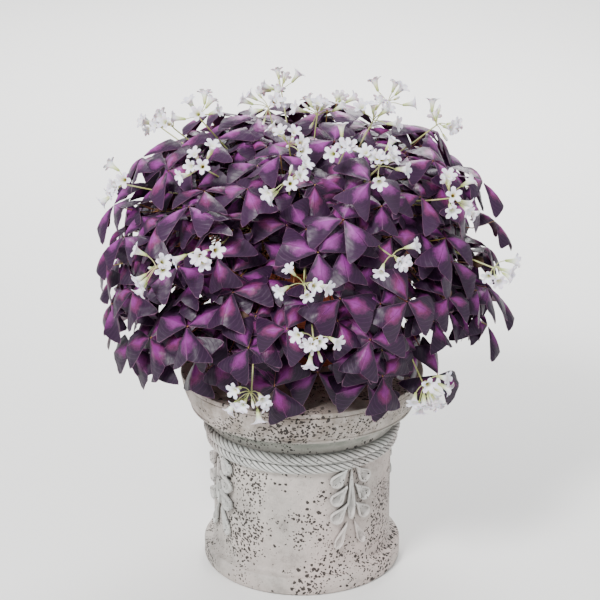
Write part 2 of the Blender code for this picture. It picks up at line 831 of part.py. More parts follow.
def nearest_spot(point, spots, used):
    """The root whose place under the soil matches the point's place on the dome."""
    flat = Vector((point.x, point.y - PLANT_SET_BACK, 0)) * (ROOT_SHARE / DOME_RADIUS)
    wanted = Vector((flat.x, flat.y + PLANT_SET_BACK, SOIL_TOP))
    free = [k for k in range(len(spots)) if k not in used]
    return min(free, key=lambda k: (spots[k] - wanted).length)


def umbel_shapes(draw_seed, root, tip, flowers, grow=0.0):
    """A flower stem and its flowers, all open at the knot that joins them."""
    draw = random.Random(draw_seed)
    outward = (tip - DOME_CENTRE).normalized()
    side = across(outward)
    brim = outward.cross(side)
    start = draw.uniform(0, math.tau)
    shapes = [scape_shape(root, tip - outward * KNOT_RADIUS, outward, grow)]
    for k in range(flowers):
        angle = start + math.tau * k / flowers
        aside = side * math.cos(angle) + brim * math.sin(angle)
        spread = (aside + outward * draw.uniform(*PEDICEL_RISES)).normalized()
        base = tip + spread * PEDICEL * draw.uniform(*PEDICEL_SIZES)
        facing = (spread * 0.8 + outward * 0.4 - UP * draw.uniform(*FLOWER_NODS)).normalized()
        knot = tip + spread * KNOT_RADIUS
        shapes.append(flower_shape(knot, spread, base, facing, draw.uniform(0, math.tau), grow))
    return shapes


def make_umbels(placed, spots):
    """Each umbel stands in the nearest free spot from which its stem is clear of the others."""
    stems, umbels, used = [], [], set()
    for number, (tip, flowers) in enumerate(umbel_places()):
        tried = set(used)
        while True:
            spot = nearest_spot(tip, spots, tried)
            wide = umbel_shapes(SEED + number, spots[spot], tip, flowers, OTHER_MARGIN)
            if not any(placed.blocks("any", shape, shape) for shape in wide):
                break
            tried.add(spot)
        used.add(spot)
        shapes = umbel_shapes(SEED + number, spots[spot], tip, flowers)
        stems.append(spots[spot])
        umbels.append((number, shapes))
        for verts, faces in shapes:
            placed.add(f"umbel_{number}", verts, faces)
    return stems, umbels


def in_window(hub):
    """The gap in the front leaves where the pot shows."""
    front = hub.y < PLANT_SET_BACK
    low = hub.z < PEDESTAL_HEIGHT + WINDOW_TOP
    return front and low and abs(hub.x) < WINDOW_HALF_WIDTH


def front_leaves():
    """The leaves that hang before the pot."""
    wishes = []
    for right_mm, front_mm, up_mm, degrees in FRONT_LEAVES:
        azimuth = math.radians(degrees)
        out = Vector((math.sin(azimuth), -math.cos(azimuth), 0))
        wish = {
            "hub": TOP + Vector((right_mm, -front_mm, up_mm)) / 1000,
            "normal": out * math.sin(FRONT_LEAF_LEAN) + UP * math.cos(FRONT_LEAF_LEAN),
            "outward": out,
            "size": FRONT_LEAF_SIZE,
            "bends": FRONT_LEAF_BENDS,
            "spin": azimuth,
        }
        wishes.append(wish)
    return wishes


def dome_leaves():
    """Leaves spread over the dome by a golden-angle rule, save where the pot shows."""
    draw = random.Random(SEED + 1)
    wishes = []
    for number, even_polar in enumerate(even_polars(LEAF_COUNT)):
        azimuth = number * GOLDEN_ANGLE + draw.uniform(-0.05, 0.05)
        polar = even_polar + draw.uniform(-0.03, 0.03)
        jitter = (draw.uniform(-LEAN_JITTER, LEAN_JITTER), draw.uniform(-LEAN_JITTER, LEAN_JITTER))
        hub, normal, outward = leaf_frame(azimuth, polar, jitter)
        wish = {
            "hub": hub,
            "normal": normal,
            "outward": outward,
            "size": draw.uniform(*LEAF_SIZES),
            "bends": [draw.uniform(*LEAFLET_BENDS) for _ in range(3)],
            "spin": draw.uniform(0, math.tau),
        }
        if not in_window(hub):
            wishes.append(wish)
    return wishes


def leaf_wishes(bulbs):
    """All leaves, each with its bulb and the direction in which its stalk leaves it."""
    wishes = front_leaves() + dome_leaves()
    for wish in wishes:
        wish["bulb"] = nearest_spot(wish["hub"], bulbs, ())
        away = (wish["hub"] - bulbs[wish["bulb"]]).normalized()
        wish["start"] = (away + UP * 0.7).normalized()
    for bulb in range(len(bulbs)):
        own = [wish for wish in wishes if wish["bulb"] == bulb]
        for wish, start in zip(own, push_apart([w["start"] for w in own], ROOT_SPACING)):
            wish["start"] = start
    return wishes


def place_leaves(placed, bulbs):
    """Sets each leaf at the first depth and turn where it is clear of all that stands already."""
    clumps = {k: [] for k in range(len(bulbs))}
    wishes = leaf_wishes(bulbs)
    for wish in wishes:
        bulb, start = wish["bulb"], wish["start"]
        root = bulbs[bulb] + UP * CROWN_LIFT + start * CROWN_RADIUS
        trials = [(depth, turn) for depth in LEAF_DEPTHS for turn in range(LEAF_SPINS)]
        for depth, turn in trials:
            hub = wish["hub"] - wish["outward"] * depth
            spin = wish["spin"] + math.tau / 3 * turn / LEAF_SPINS
            form = (root, start, hub, wish["normal"], spin, wish["size"], wish["bends"])
            wide, close, shape = (leaf_shape(*form, grow) for grow in (OTHER_MARGIN, OWN_MARGIN, 0.0))
            clear = not placed.blocks(f"clump_{bulb}", wide, close) and not placed.blocks("any", shape, shape)
            if clear and not crosses_itself(*close) and not crosses_itself(*shape):
                placed.add(f"clump_{bulb}", *shape)
                clumps[bulb].append(shape)
                break
    print("leaves", sum(len(shapes) for shapes in clumps.values()), "of", len(wishes))
    return clumps


def bulb_rim(spot):
    """The five-sided bulb's corners, in its hole and just above the soil."""
    corners = []
    for height in (SOIL_TOP - BULB_SUNK, SOIL_TOP + BULB_RISE):
        for k in range(BULB_SIDES):
            angle = math.tau * k / BULB_SIDES
            corner = spot + Vector((math.cos(angle), math.sin(angle), 0)) * BULB_RADIUS
            corners.append(Vector((corner.x, corner.y, height)))
    return corners


def build():
    clear_scene()
    pedestal = stone_pedestal()
    pot = terracotta_pot()
    bulbs = root_spots(BULB_RINGS)
    placed = Placed()
    for thing in (pedestal, pot):
        verts = [v.co.copy() for v in thing.data.vertices]
        placed.add(thing.name, verts, [tuple(p.vertices) for p in thing.data.polygons])
    stems, umbels = make_umbels(placed, root_spots(SCAPE_RINGS))
    clumps = place_leaves(placed, bulbs)
    soil(bulbs, stems)
    for k, shapes in clumps.items():
        grown_together(f"leaf_clump_{k + 1:02d}", shapes, bulb_rim(bulbs[k]), "leaf")
    for number, shapes in umbels:
        grown_together(f"flower_umbel_{number + 1:02d}", shapes, (), "flower")


build()
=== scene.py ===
# %% [markdown]
# # A purple shamrock in a clay pot on a carved stone pedestal
# This lesson dresses a plain, solid model of a house plant. The solid model gives every size and place.
# Here each plain piece gets the shape and finish of the real one: folded leaves with a violet blotch,
# small funnel flowers, pitted stone and old terracotta.

import math
import random

import bmesh
import bpy
import numpy as np
from mathutils import Matrix, Vector


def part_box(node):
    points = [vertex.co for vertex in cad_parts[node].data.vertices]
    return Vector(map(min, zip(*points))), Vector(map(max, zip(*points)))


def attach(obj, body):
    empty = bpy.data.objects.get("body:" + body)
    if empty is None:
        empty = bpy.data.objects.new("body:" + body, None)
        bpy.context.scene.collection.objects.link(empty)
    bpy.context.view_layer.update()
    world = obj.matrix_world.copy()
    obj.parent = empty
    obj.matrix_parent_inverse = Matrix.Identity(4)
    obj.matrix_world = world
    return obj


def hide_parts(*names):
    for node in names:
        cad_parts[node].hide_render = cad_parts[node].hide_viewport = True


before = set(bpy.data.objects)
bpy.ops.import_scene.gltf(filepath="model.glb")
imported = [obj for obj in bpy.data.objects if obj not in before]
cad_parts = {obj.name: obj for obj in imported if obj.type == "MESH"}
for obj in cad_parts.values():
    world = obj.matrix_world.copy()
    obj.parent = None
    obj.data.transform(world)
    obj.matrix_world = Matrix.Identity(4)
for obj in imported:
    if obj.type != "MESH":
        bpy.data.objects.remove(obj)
bpy.context.view_layer.update()
UP = Vector((0, 0, 1))
PEDESTAL_LOW, PEDESTAL_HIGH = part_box("stone_pedestal")
TOP_Z = PEDESTAL_HIGH[2]
POT_LOW, POT_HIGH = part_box("terracotta_pot")
POT_X = (POT_LOW[0] + POT_HIGH[0]) / 2
POT_Y = (POT_LOW[1] + POT_HIGH[1]) / 2
SOIL_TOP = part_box("soil")[1][2]

# %% [markdown]
# ## Small helpers
# Every finished piece keeps its object at the origin, with its place in the mesh. The operators of edit
# mode act on all that is selected, so each step first clears the selection and then picks what it needs.


# %% Selecting and finishing helpers
def clear_selection():
    bpy.ops.object.select_all(action="DESELECT")


def only(thing):
    """Makes one object the selected and active one."""
    clear_selection()
    thing.select_set(True)
    bpy.context.view_layer.objects.active = thing
    return thing


def pick_verts(thing, wanted):
    """Selects the points of an object that a test accepts, and goes into edit mode."""
    bpy.ops.object.mode_set(mode="OBJECT")
    for vert in thing.data.vertices:
        vert.select = bool(wanted(vert.co))
    for edge in thing.data.edges:
        edge.select = all(thing.data.vertices[k].select for k in edge.vertices)
    for face in thing.data.polygons:
        face.select = all(thing.data.vertices[k].select for k in face.vertices)
    bpy.ops.object.mode_set(mode="EDIT")
    bpy.ops.mesh.select_mode(type="VERT")


def leave_edit():
    bpy.ops.object.mode_set(mode="OBJECT")


def apply_modifier(thing, kind, **settings):
    modifier = thing.modifiers.new(kind.lower(), kind)
    for key, value in settings.items():
        setattr(modifier, key, value)
    only(thing)
    bpy.ops.object.modifier_apply(modifier=modifier.name)


def facing_out(thing):
    """Merges doubles and turns the faces outwards."""
    only(thing)
    bpy.ops.object.mode_set(mode="EDIT")
    bpy.ops.mesh.select_all(action="SELECT")
    bpy.ops.mesh.remove_doubles(threshold=0.00001)
    bpy.ops.mesh.normals_make_consistent(inside=False)
    leave_edit()


def smooth(thing, angle):
    only(thing)
    bpy.ops.object.shade_smooth_by_angle(angle=math.radians(angle))


def joined(things, name):
    """Joins objects into the first of them and names the result."""
    clear_selection()
    for thing in things:
        thing.select_set(True)
    bpy.context.view_layer.objects.active = things[0]
    bpy.ops.object.join()
    whole = bpy.context.object
    whole.name = name
    return whole


def round_curve(name, thickness, sides, finish):
    """An empty curve whose lines become round rods."""
    curve = bpy.data.curves.new(name, "CURVE")
    curve.dimensions = "3D"
    curve.bevel_depth = thickness
    curve.bevel_resolution = sides
    curve.materials.append(finish)
    return curve


def meshed(curve):
    """Places a curve in the scene and turns it into a mesh."""
    thing = bpy.data.objects.new(curve.name, curve)
    bpy.context.scene.collection.objects.link(thing)
    only(thing)
    bpy.ops.object.convert(target="MESH")
    return bpy.context.object


def lay_map(mesh, name, flat_place):
    """Gives a mesh one flat map; flat_place says where each point lies on it."""
    while mesh.uv_layers:
        mesh.uv_layers.remove(mesh.uv_layers[0])
    layer = mesh.uv_layers.new(name=name)
    for loop in mesh.loops:
        layer.data[loop.index].uv = flat_place(mesh.vertices[loop.vertex_index].co)


# %% [markdown]
# ## Finishes
# A finish is a small network of nodes. The helper below adds a node, sets its values and links it, so
# that each recipe reads from top to bottom like a list of steps.


# %% Material helpers
class Finish:
    """A material and short ways to add nodes to it."""

    def __init__(self, name, roughness):
        self.material = bpy.data.materials.new(name)
        self.material.use_nodes = True
        self.tree = self.material.node_tree
        self.shader = self.tree.nodes["Principled BSDF"]
        self.shader.inputs["Roughness"].default_value = roughness

    def node(self, kind, links=(), **values):
        made = self.tree.nodes.new(kind)
        for key, value in values.items():
            setattr(made, key, value)
        for socket, source in dict(links).items():
            if isinstance(source, (int, float, tuple)):
                made.inputs[socket].default_value = source
            else:
                self.tree.links.new(source, made.inputs[socket])
        return made

    def math(self, operation, a, b=0.0):
        return self.node("ShaderNodeMath", {0: a, 1: b}, operation=operation).outputs[0]

    def ramp(self, factor, stops):
        made = self.node("ShaderNodeValToRGB", {0: factor})
        ramp = made.color_ramp
        while len(ramp.elements) < len(stops):
            ramp.elements.new(0.5)
        for element, (place, colour) in zip(ramp.elements, stops):
            element.position = place
            element.color = (*colour, 1) if len(colour) == 3 else colour
        return made.outputs[0]

    def mask(self, factor, low, high):
        return self.ramp(factor, ((low, (0, 0, 0)), (high, (1, 1, 1))))

    def mix(self, factor, a, b, blend="MIX"):
        made = self.node("ShaderNodeMix", data_type="RGBA", blend_type=blend)
        for socket, source in ((0, factor), (6, a), (7, b)):
            if isinstance(source, (int, float)):
                made.inputs[socket].default_value = source
            elif isinstance(source, tuple):
                made.inputs[socket].default_value = (*source, 1)
            else:
                self.tree.links.new(source, made.inputs[socket])
        return made.outputs[2]

    def place(self, space="Object"):
        return self.node("ShaderNodeTexCoord").outputs[space]

    def noise(self, vector, scale, detail=3.0, rough=0.55):
        links = {"Vector": vector, "Scale": scale, "Detail": detail, "Roughness": rough}
        return self.node("ShaderNodeTexNoise", links).outputs[0]

    def cells(self, vector, scale):
        return self.node("ShaderNodeTexVoronoi", {"Vector": vector, "Scale": scale}).outputs["Distance"]

    def bump(self, height, strength, distance):
        links = {"Height": height, "Strength": strength, "Distance": distance}
        made = self.node("ShaderNodeBump", links)
        self.tree.links.new(made.outputs[0], self.shader.inputs["Normal"])

    def colour(self, source):
        self.tree.links.new(source, self.shader.inputs["Base Color"])

    def roughness(self, source):
        self.tree.links.new(source, self.shader.inputs["Roughness"])


# %% [markdown]
# ## Stone
# The pedestal is cast stone that looks like travertine: pale and a little pink, full of small pits that are
# painted nearly black as the shade inside them. The pits are the centres of a cell pattern, cut off at a
# distance that a noise makes larger and smaller, and a second noise shakes the pattern so that they are not
# round. Height decides the rest: a grey-green tint with painted shade in the shaded cove, a black painted
# shade above the rope, brown stains on the band, and a brown tint with painted shade on the flat top.


# %% Stone finish
def pit_layer(f, at, scale, reach, wobble_scale, low, high):
    """Round holes where a cell's centre is near, larger or absent from place to place; the finish paints them
    dark as shade.
    """
    size = f.math("MULTIPLY", f.mask(f.noise(at, wobble_scale, 2.0), low, high), reach)
    return f.math("LESS_THAN", f.cells(at, scale), size)


# How far under the top each kind of stain, tint and painted shade begins and is full, and where it ends
# again, in metres
BAND_DIRT = (0.050, 0.044)
COVE_MOSS_AND_SHADE = ((0.085, 0.062), (0.052, 0.044))
ROPE_SEAM_SHADE = ((0.080, 0.074), (0.073, 0.066))
TOP_TINT_AND_SHADE = (0.0015, 0.0003)
STONE_SHADES = ((0.32, 0.45), (0.45, 0.82), (0.58, 1.0), (0.8, 1.2))


def level_step(f, height, span, low=0.0, high=1.0):
    """A factor that goes from low to high between two depths under the top."""
    ends = {0: height, 1: TOP_Z - span[0], 2: TOP_Z - span[1], 3: low, 4: high}
    return f.node("ShaderNodeMapRange", ends).outputs[0]


def level_belt(f, height, spans):
    """A factor that rises over the first span of depths and falls over the second."""
    rising, falling = spans
    return f.math("MULTIPLY", level_step(f, height, rising), level_step(f, height, falling, 1.0, 0.0))


def torn_place(f, at):
    """The same place, shaken a little, which makes round holes uneven."""
    shake = f.node("ShaderNodeTexNoise", {"Vector": at, "Scale": 160.0, "Detail": 2.0}).outputs["Color"]
    shake = f.node("ShaderNodeVectorMath", {0: shake, 1: (0.5, 0.5, 0.5)}, operation="SUBTRACT").outputs[0]
    shake = f.node("ShaderNodeVectorMath", {0: shake, "Scale": 0.0055}, operation="SCALE").outputs[0]
    return f.node("ShaderNodeVectorMath", {0: at, 1: shake}, operation="ADD").outputs[0]


def stone_finish(name, pale, pit_amount):
    f = Finish(name, 0.9)
    at = f.place()
    blotches = f.noise(at, 11.0, 8.0, 0.72)
    base = f.ramp(blotches, [(place, tuple(c * share for c in pale)) for place, share in STONE_SHADES])
    pink = f.mask(f.noise(at, 6.0, 2.0), 0.42, 0.66)
    base = f.mix(f.math("MULTIPLY", pink, 0.55), base, (0.56, 0.43, 0.40))
    grime = f.mask(f.noise(at, 70.0, 8.0, 0.78), 0.50, 0.72)
    base = f.mix(f.math("MULTIPLY", grime, 0.45), base, (0.15, 0.13, 0.11))
    height = f.node("ShaderNodeSeparateXYZ", {0: at}).outputs[2]
    band = level_step(f, height, BAND_DIRT)
    stain = f.math("MULTIPLY", band, f.mask(f.noise(at, 34.0, 6.0, 0.7), 0.40, 0.62))
    base = f.mix(f.math("MULTIPLY", stain, 0.68), base, (0.17, 0.135, 0.10))
    # The cove gets a grey-green tint and painted shade under the overhang.
    cove = level_belt(f, height, COVE_MOSS_AND_SHADE)
    moss_and_shade = f.math("MULTIPLY", cove, f.mask(f.noise(at, 30.0, 6.0, 0.7), 0.15, 0.55))
    base = f.mix(f.math("MULTIPLY", moss_and_shade, 0.82), base, (0.135, 0.155, 0.125))
    # Painted shade: a near-black belt where the upper rope meets the cove.
    seam_shade = level_belt(f, height, ROPE_SEAM_SHADE)
    base = f.mix(f.math("MULTIPLY", seam_shade, 0.6), base, (0.05, 0.05, 0.042))
    # The flat top gets a brown tint and painted shade from the leaves above it.
    top = level_step(f, height, TOP_TINT_AND_SHADE)
    base = f.mix(f.math("MULTIPLY", top, 0.6), base, (0.19, 0.14, 0.12))
    spot = torn_place(f, at)
    fine = pit_layer(f, spot, 230.0, 0.42 * pit_amount, 16.0, 0.38, 0.60)
    middle = pit_layer(f, spot, 120.0, 0.36 * pit_amount, 24.0, 0.42, 0.66)
    coarse = pit_layer(f, spot, 46.0, 0.18 * pit_amount, 12.0, 0.42, 0.66)
    pits = f.math("MAXIMUM", f.math("MAXIMUM", fine, middle), coarse)
    # Painted shade: the pits are made nearly black, as the shade inside the holes.
    base = f.mix(f.math("MULTIPLY", pits, 0.95), base, (0.018, 0.014, 0.012))
    return f, at, base, pits, blotches


def finish_stone(f, at, base, pits, blotches):
    f.colour(base)
    grain = f.math("MULTIPLY", f.noise(at, 420.0, 2.0), 0.4)
    relief = f.math("SUBTRACT", f.math("ADD", grain, f.math("MULTIPLY", blotches, 0.8)), pits)
    f.bump(relief, 0.75, 0.0022)
    return f.material


def carved_stone_finish():
    """Whiter stone whose grooves, marked in the mesh, are painted dark as shade."""
    f, at, base, pits, blotches = stone_finish("carved_stone", (0.60, 0.60, 0.57), 0.6)
    groove = f.node("ShaderNodeAttribute", attribute_name="groove").outputs["Fac"]
    # Painted shade: points deep in a groove are made near-black.
    groove_shade = f.math("MULTIPLY", f.mask(groove, 0.13, 0.60), 0.95)
    base = f.mix(groove_shade, base, (0.030, 0.027, 0.024))
    return finish_stone(f, at, base, pits, blotches)


STONE = finish_stone(*stone_finish("cast_stone", (0.52, 0.475, 0.435), 1.0))
ROPE_STONE = carved_stone_finish()
print("stone finishes", STONE.name, ROPE_STONE.name)

# %% [markdown]
# ## Terracotta and soil
# The pot was turned on a wheel, which leaves fine level grooves. The sine of the height gives them.


# %% Terracotta and soil finishes
def terracotta_finish():
    f = Finish("old_terracotta", 0.85)
    at = f.place()
    height = f.node("ShaderNodeSeparateXYZ", {0: at}).outputs[2]
    bands = f.math("SINE", f.math("MULTIPLY", height, 1900.0))
    patch = f.noise(at, 22.0, 4.0)
    clays = ((0.25, (0.24, 0.045, 0.018)), (0.55, (0.40, 0.085, 0.03)), (0.8, (0.50, 0.15, 0.07)))
    base = f.ramp(patch, clays)
    base = f.mix(f.mask(bands, 0.2, 1.0), base, (0.22, 0.035, 0.012))
    f.colour(base)
    f.bump(f.math("ADD", bands, f.noise(at, 300.0)), 0.3, 0.0008)
    return f.material


def soil_finish():
    f = Finish("potting_soil", 0.95)
    at = f.place()
    crumbs = f.cells(at, 160.0)
    f.colour(f.ramp(crumbs, ((0.1, (0.06, 0.035, 0.02)), (0.5, (0.022, 0.014, 0.009)))))
    f.bump(f.math("ADD", crumbs, f.noise(at, 300.0)), 0.8, 0.002)
    return f.material


TERRACOTTA = terracotta_finish()
SOIL = soil_finish()
print("pot and soil finishes", TERRACOTTA.name, SOIL.name)

# %% [markdown]
# ## Leaf
# A leaflet has its own flat map: u runs across it and v from the hub to the outer edge. With that map
# the violet blotch, the veins and the pale edge line, a painted highlight, stay in place however the
# leaflet is bent. Each leaf also carries one random number, and a second number says how high it sits in
# the plant, because the leaves in the light are paler and pinker than the lower ones.


# %% Leaf finishes
def leaf_finish():
    f = Finish("leaf_upper", 0.42)
    uv = f.node("ShaderNodeUVMap", uv_map="leaflet").outputs[0]
    parts = f.node("ShaderNodeSeparateXYZ", {0: uv})
    u, v = parts.outputs[0], parts.outputs[1]
    tone = f.node("ShaderNodeAttribute", attribute_name="tone")
    chance, light, rim = f.node("ShaderNodeSeparateColor", {0: tone.outputs["Color"]}).outputs[:3]
    aside = f.math("ABSOLUTE", f.math("SUBTRACT", u, 0.5))
    at = f.place()
    ragged = f.math("MULTIPLY", f.math("SUBTRACT", f.noise(at, 110.0, 6.0, 0.75), 0.5), 0.62)
    violet = f.mix(light, (0.084, 0.009, 0.074), (0.180, 0.034, 0.168))
    maroon = f.mix(light, (0.084, 0.008, 0.050), (0.175, 0.030, 0.110))
    middle = f.mix(f.ramp(chance, ((0.35, (0, 0, 0)), (0.75, (1, 1, 1)))), violet, maroon)
    dark = f.mix(light, (0.014, 0.004, 0.017), (0.038, 0.013, 0.042))
    bright = f.mix(light, (0.165, 0.011, 0.155), (0.340, 0.064, 0.340))
    along = f.math("ABSOLUTE", f.math("SUBTRACT", v, 0.42))
    wedge = f.math("ADD", f.math("MULTIPLY", aside, 1.25), f.math("MULTIPLY", along, 1.05))
    inner = f.ramp(f.math("ADD", wedge, ragged), ((0.16, (1, 1, 1)), (0.34, (0, 0, 0))))
    outer = f.ramp(f.math("ADD", wedge, ragged), ((0.36, (0, 0, 0)), (0.56, (1, 1, 1))))
    base = f.mix(outer, middle, dark)
    base = f.mix(f.math("MULTIPLY", inner, 0.70), base, bright)
    veins = f.math("ADD", f.math("MULTIPLY", v, 46.0), f.math("MULTIPLY", aside, 62.0))
    vein_lines = f.mask(f.math("SINE", veins), 0.80, 1.0)
    base = f.mix(f.math("MULTIPLY", vein_lines, 0.07), base, (0.20, 0.07, 0.20))
    midrib = f.ramp(aside, ((0.003, (1, 1, 1)), (0.014, (0, 0, 0))))
    base = f.mix(f.math("MULTIPLY", midrib, 0.28), base, (0.28, 0.09, 0.22))
    # Painted highlight: a pale line along the rim of each leaflet.
    edge = f.mask(rim, 0.90, 0.99)
    base = f.mix(f.math("MULTIPLY", edge, 0.55), base, (0.25, 0.11, 0.19))
    f.colour(base)
    f.shader.inputs["Specular IOR Level"].default_value = 0.24
    f.roughness(f.node("ShaderNodeMapRange", {0: f.noise(at, 60.0), 3: 0.34, 4: 0.50}).outputs[0])
    folds = f.math("MULTIPLY", f.noise(at, 70.0, 1.0, 0.4), 2.2)
    relief = f.math("SUBTRACT", folds, f.math("MULTIPLY", vein_lines, 0.10))
    f.bump(f.math("SUBTRACT", relief, midrib), 0.75, 0.0014)
    return f.material


def underside_finish():
    f = Finish("leaf_underside", 0.5)
    at = f.place()
    f.colour(f.ramp(f.noise(at, 60.0), ((0.3, (0.045, 0.006, 0.030)), (0.7, (0.100, 0.014, 0.055)))))
    f.bump(f.noise(at, 240.0), 0.3, 0.0006)
    return f.material


def stalk_finish():
    f = Finish("leaf_stalk", 0.45)
    at = f.place()
    browns = ((0.35, (0.20, 0.045, 0.035)), (0.5, (0.30, 0.12, 0.05)), (0.65, (0.34, 0.24, 0.07)))
    f.colour(f.ramp(f.noise(at, 16.0, 2.0), browns))
    f.bump(f.noise(at, 500.0), 0.2, 0.0004)
    return f.material


LEAF_UPPER = leaf_finish()
LEAF_UNDER = underside_finish()
STALK = stalk_finish()
print("leaf finishes", LEAF_UPPER.name, LEAF_UNDER.name, STALK.name)

# %% [markdown]
# ## Petal
# The flowers are white with a breath of lilac and fine lilac veins, and their throat and the base of
# their tube are yellow-green. The map's v runs from the base of the flower to the petals' tips.


# %% Flower finishes
def petal_finish():
    f = Finish("petal", 0.5)
    uv = f.node("ShaderNodeUVMap", uv_map="flower").outputs[0]
    parts = f.node("ShaderNodeSeparateXYZ", {0: uv})
    u, v = parts.outputs[0], parts.outputs[1]
    green, lime, cream = (0.30, 0.38, 0.06), (0.62, 0.66, 0.30), (0.85, 0.86, 0.72)
    white, lilac = (0.90, 0.86, 0.92), (0.86, 0.78, 0.89)
    base = f.ramp(v, ((0.0, green), (0.28, lime), (0.5, cream), (0.68, white), (1.0, lilac)))
    veins = f.mask(f.math("SINE", f.math("MULTIPLY", u, 188.5)), 0.7, 1.0)
    reach = f.ramp(v, ((0.45, (0, 0, 0)), (0.65, (0.4, 0.4, 0.4)), (1.0, (0.05, 0.05, 0.05))))
    base = f.mix(f.math("MULTIPLY", veins, reach), base, (0.62, 0.46, 0.70))
    f.colour(base)
    f.shader.inputs["Subsurface Weight"].default_value = 0.15
    f.shader.inputs["Subsurface Scale"].default_value = 0.004
    f.bump(f.noise(f.place(), 500.0), 0.2, 0.0004)
    return f.material


def scape_finish():
    f = Finish("flower_stem", 0.45)
    at = f.place()
    greens = ((0.35, (0.36, 0.36, 0.10)), (0.55, (0.52, 0.55, 0.24)), (0.75, (0.50, 0.32, 0.18)))
    f.colour(f.ramp(f.noise(at, 20.0), greens))
    f.bump(f.noise(at, 500.0), 0.2, 0.0004)
    return f.material


PETAL = petal_finish()
SCAPE = scape_finish()
print("flower finishes", PETAL.name, SCAPE.name)

# %% [markdown]
# ## Reading the solid leaves
# The solid model already holds each leaf at its place. Its hub is the one point where twelve triangles
# meet, and the twelve points round it are the corners, notches and inner bends of three leaflets. From
# the hub's underside the stalk runs down as rings of three points. Reading those points lets the fine
# leaf follow the plain one exactly.


# %% Read leaves and flowers from the solids
NEAR_HUB = 0.010
ROOT_REACH = 0.095


def merged(node):
    """A merged copy of a node's mesh, and its points."""
    shape = bmesh.new()
    shape.from_mesh(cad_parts[node].data)
    bmesh.ops.remove_doubles(shape, verts=shape.verts, dist=0.00002)
    shape.normal_update()
    shape.verts.ensure_lookup_table()
    return shape


def ring_round(hub):
    """The points round a hub, in order, counterclockwise seen from outside."""
    after = {}
    for face in hub.link_faces:
        corners = list(face.verts)
        place = corners.index(hub)
        after[corners[(place + 1) % 3]] = corners[(place + 2) % 3]
    start = next(iter(after))
    ring = [start]
    while len(ring) < len(after):
        step = after.get(ring[-1])
        if step is None or step in ring:
            return []
        ring.append(step)
    return ring


def layers_from(first, seen, count):
    """Rings of three points that follow one another along a stalk."""
    layers = []
    layer = set(first)
    for _ in range(count):
        seen |= layer
        following = {e.other_vert(v) for v in layer for e in v.link_edges} - seen
        if len(following) != 3:
            break
        layers.append(sum((v.co for v in following), Vector()) / 3)
        layer = following
    return layers


def read_leaves(node):
    """Hub, normal, leaflet corners and stalk of every leaf in a node."""
    shape = merged(node)
    leaves = []
    for hub in shape.verts:
        if len(hub.link_faces) != 12:
            continue
        ring = ring_round(hub)
        if len(ring) != 12:
            continue
        near = [k for k in range(12) if (ring[k].co - hub.co).length < NEAR_HUB]
        if len(near) != 3 or (near[1] - near[0]) != 4 or (near[2] - near[1]) != 4:
            continue
        normal = sum((f.normal for f in hub.link_faces), Vector()).normalized()
        leaflets = []
        for k in near:
            corner, notch, other = (ring[(k + j) % 12].co.copy() for j in (1, 2, 3))
            leaflets.append((corner, notch, other))
        seen = {hub} | set(ring)
        under = {e.other_vert(v) for v in ring for e in v.link_edges} - seen
        seen |= under
        path = []
        first = {e.other_vert(v) for v in under for e in v.link_edges} - seen
        if len(first) == 3:
            path = [sum((v.co for v in first), Vector()) / 3]
            path += layers_from(first, seen, 4)
        leaves.append({"hub": hub.co.copy(), "normal": normal, "leaflets": leaflets, "path": path})
    shape.free()
    return leaves


def read_flowers(node):
    """Mouth, facing, first lobe and root of every flower in a node, and the stem's path from below."""
    shape = merged(node)
    flowers = []
    for hub in shape.verts:
        if len(hub.link_faces) != 10:
            continue
        ring = ring_round(hub)
        if len(ring) != 10:
            continue
        reach = [(v.co - hub.co).length for v in ring]
        if max(reach) > 0.02 or min(reach) < 0.004:
            continue
        normal = sum((f.normal for f in hub.link_faces), Vector()).normalized()
        middle = sum((v.co for v in ring), Vector()) / 10
        first = 0 if reach[0] + reach[2] > reach[1] + reach[3] else 1
        lobe = (ring[first].co - middle).normalized()
        seen = {hub} | set(ring)
        tube = {e.other_vert(v) for v in ring for e in v.link_edges} - seen
        path = layers_from(tube, seen, 2)
        flowers.append({"middle": middle, "facing": normal, "lobe": lobe, "path": path})
    rooted = [v for v in shape.verts if math.hypot(v.co.x - POT_X, v.co.y - POT_Y) < ROOT_REACH]
    lowest = sorted(rooted, key=lambda v: v.co.z)[:3]
    stem = [sum((v.co for v in lowest), Vector()) / 3]
    stem += layers_from(set(lowest), set(lowest), 6)
    shape.free()
    return {"flowers": flowers, "stem": stem}


LEAF_NODES = sorted(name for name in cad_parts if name.startswith("leaf_clump"))
FLOWER_NODES = sorted(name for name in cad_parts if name.startswith("flower_umbel"))
LEAVES = {name: read_leaves(name) for name in LEAF_NODES}
UMBELS = {name: read_flowers(name) for name in FLOWER_NODES}
whole_stalks = sum(len(leaf["path"]) > 3 for leaves in LEAVES.values() for leaf in leaves)
print("leaves read", sum(map(len, LEAVES.values())), "stalks", whole_stalks)
print("flowers read", sum(len(u["flowers"]) for u in UMBELS.values()))

# %% [markdown]
# ## One leaflet, drawn flat
# A leaflet is a soft triangle that hangs from its point. It is drawn once as a flat grid whose X runs
# across and whose Y runs from the hub to the outer edge. The rows are then moved and narrowed, which
# rounds the two outer corners, swells the sides and cuts a shallow notch in the middle of the edge.

# %% Draw the flat leaflet
LEAFLET_ROWS = ((0.05, 1.00), (0.34, 1.10), (0.62, 1.09), (0.84, 1.02), (0.955, 0.90), (1.0, 0.70))
EDGE_SWELL = 0.022
LEAFLET_ACROSS = 6


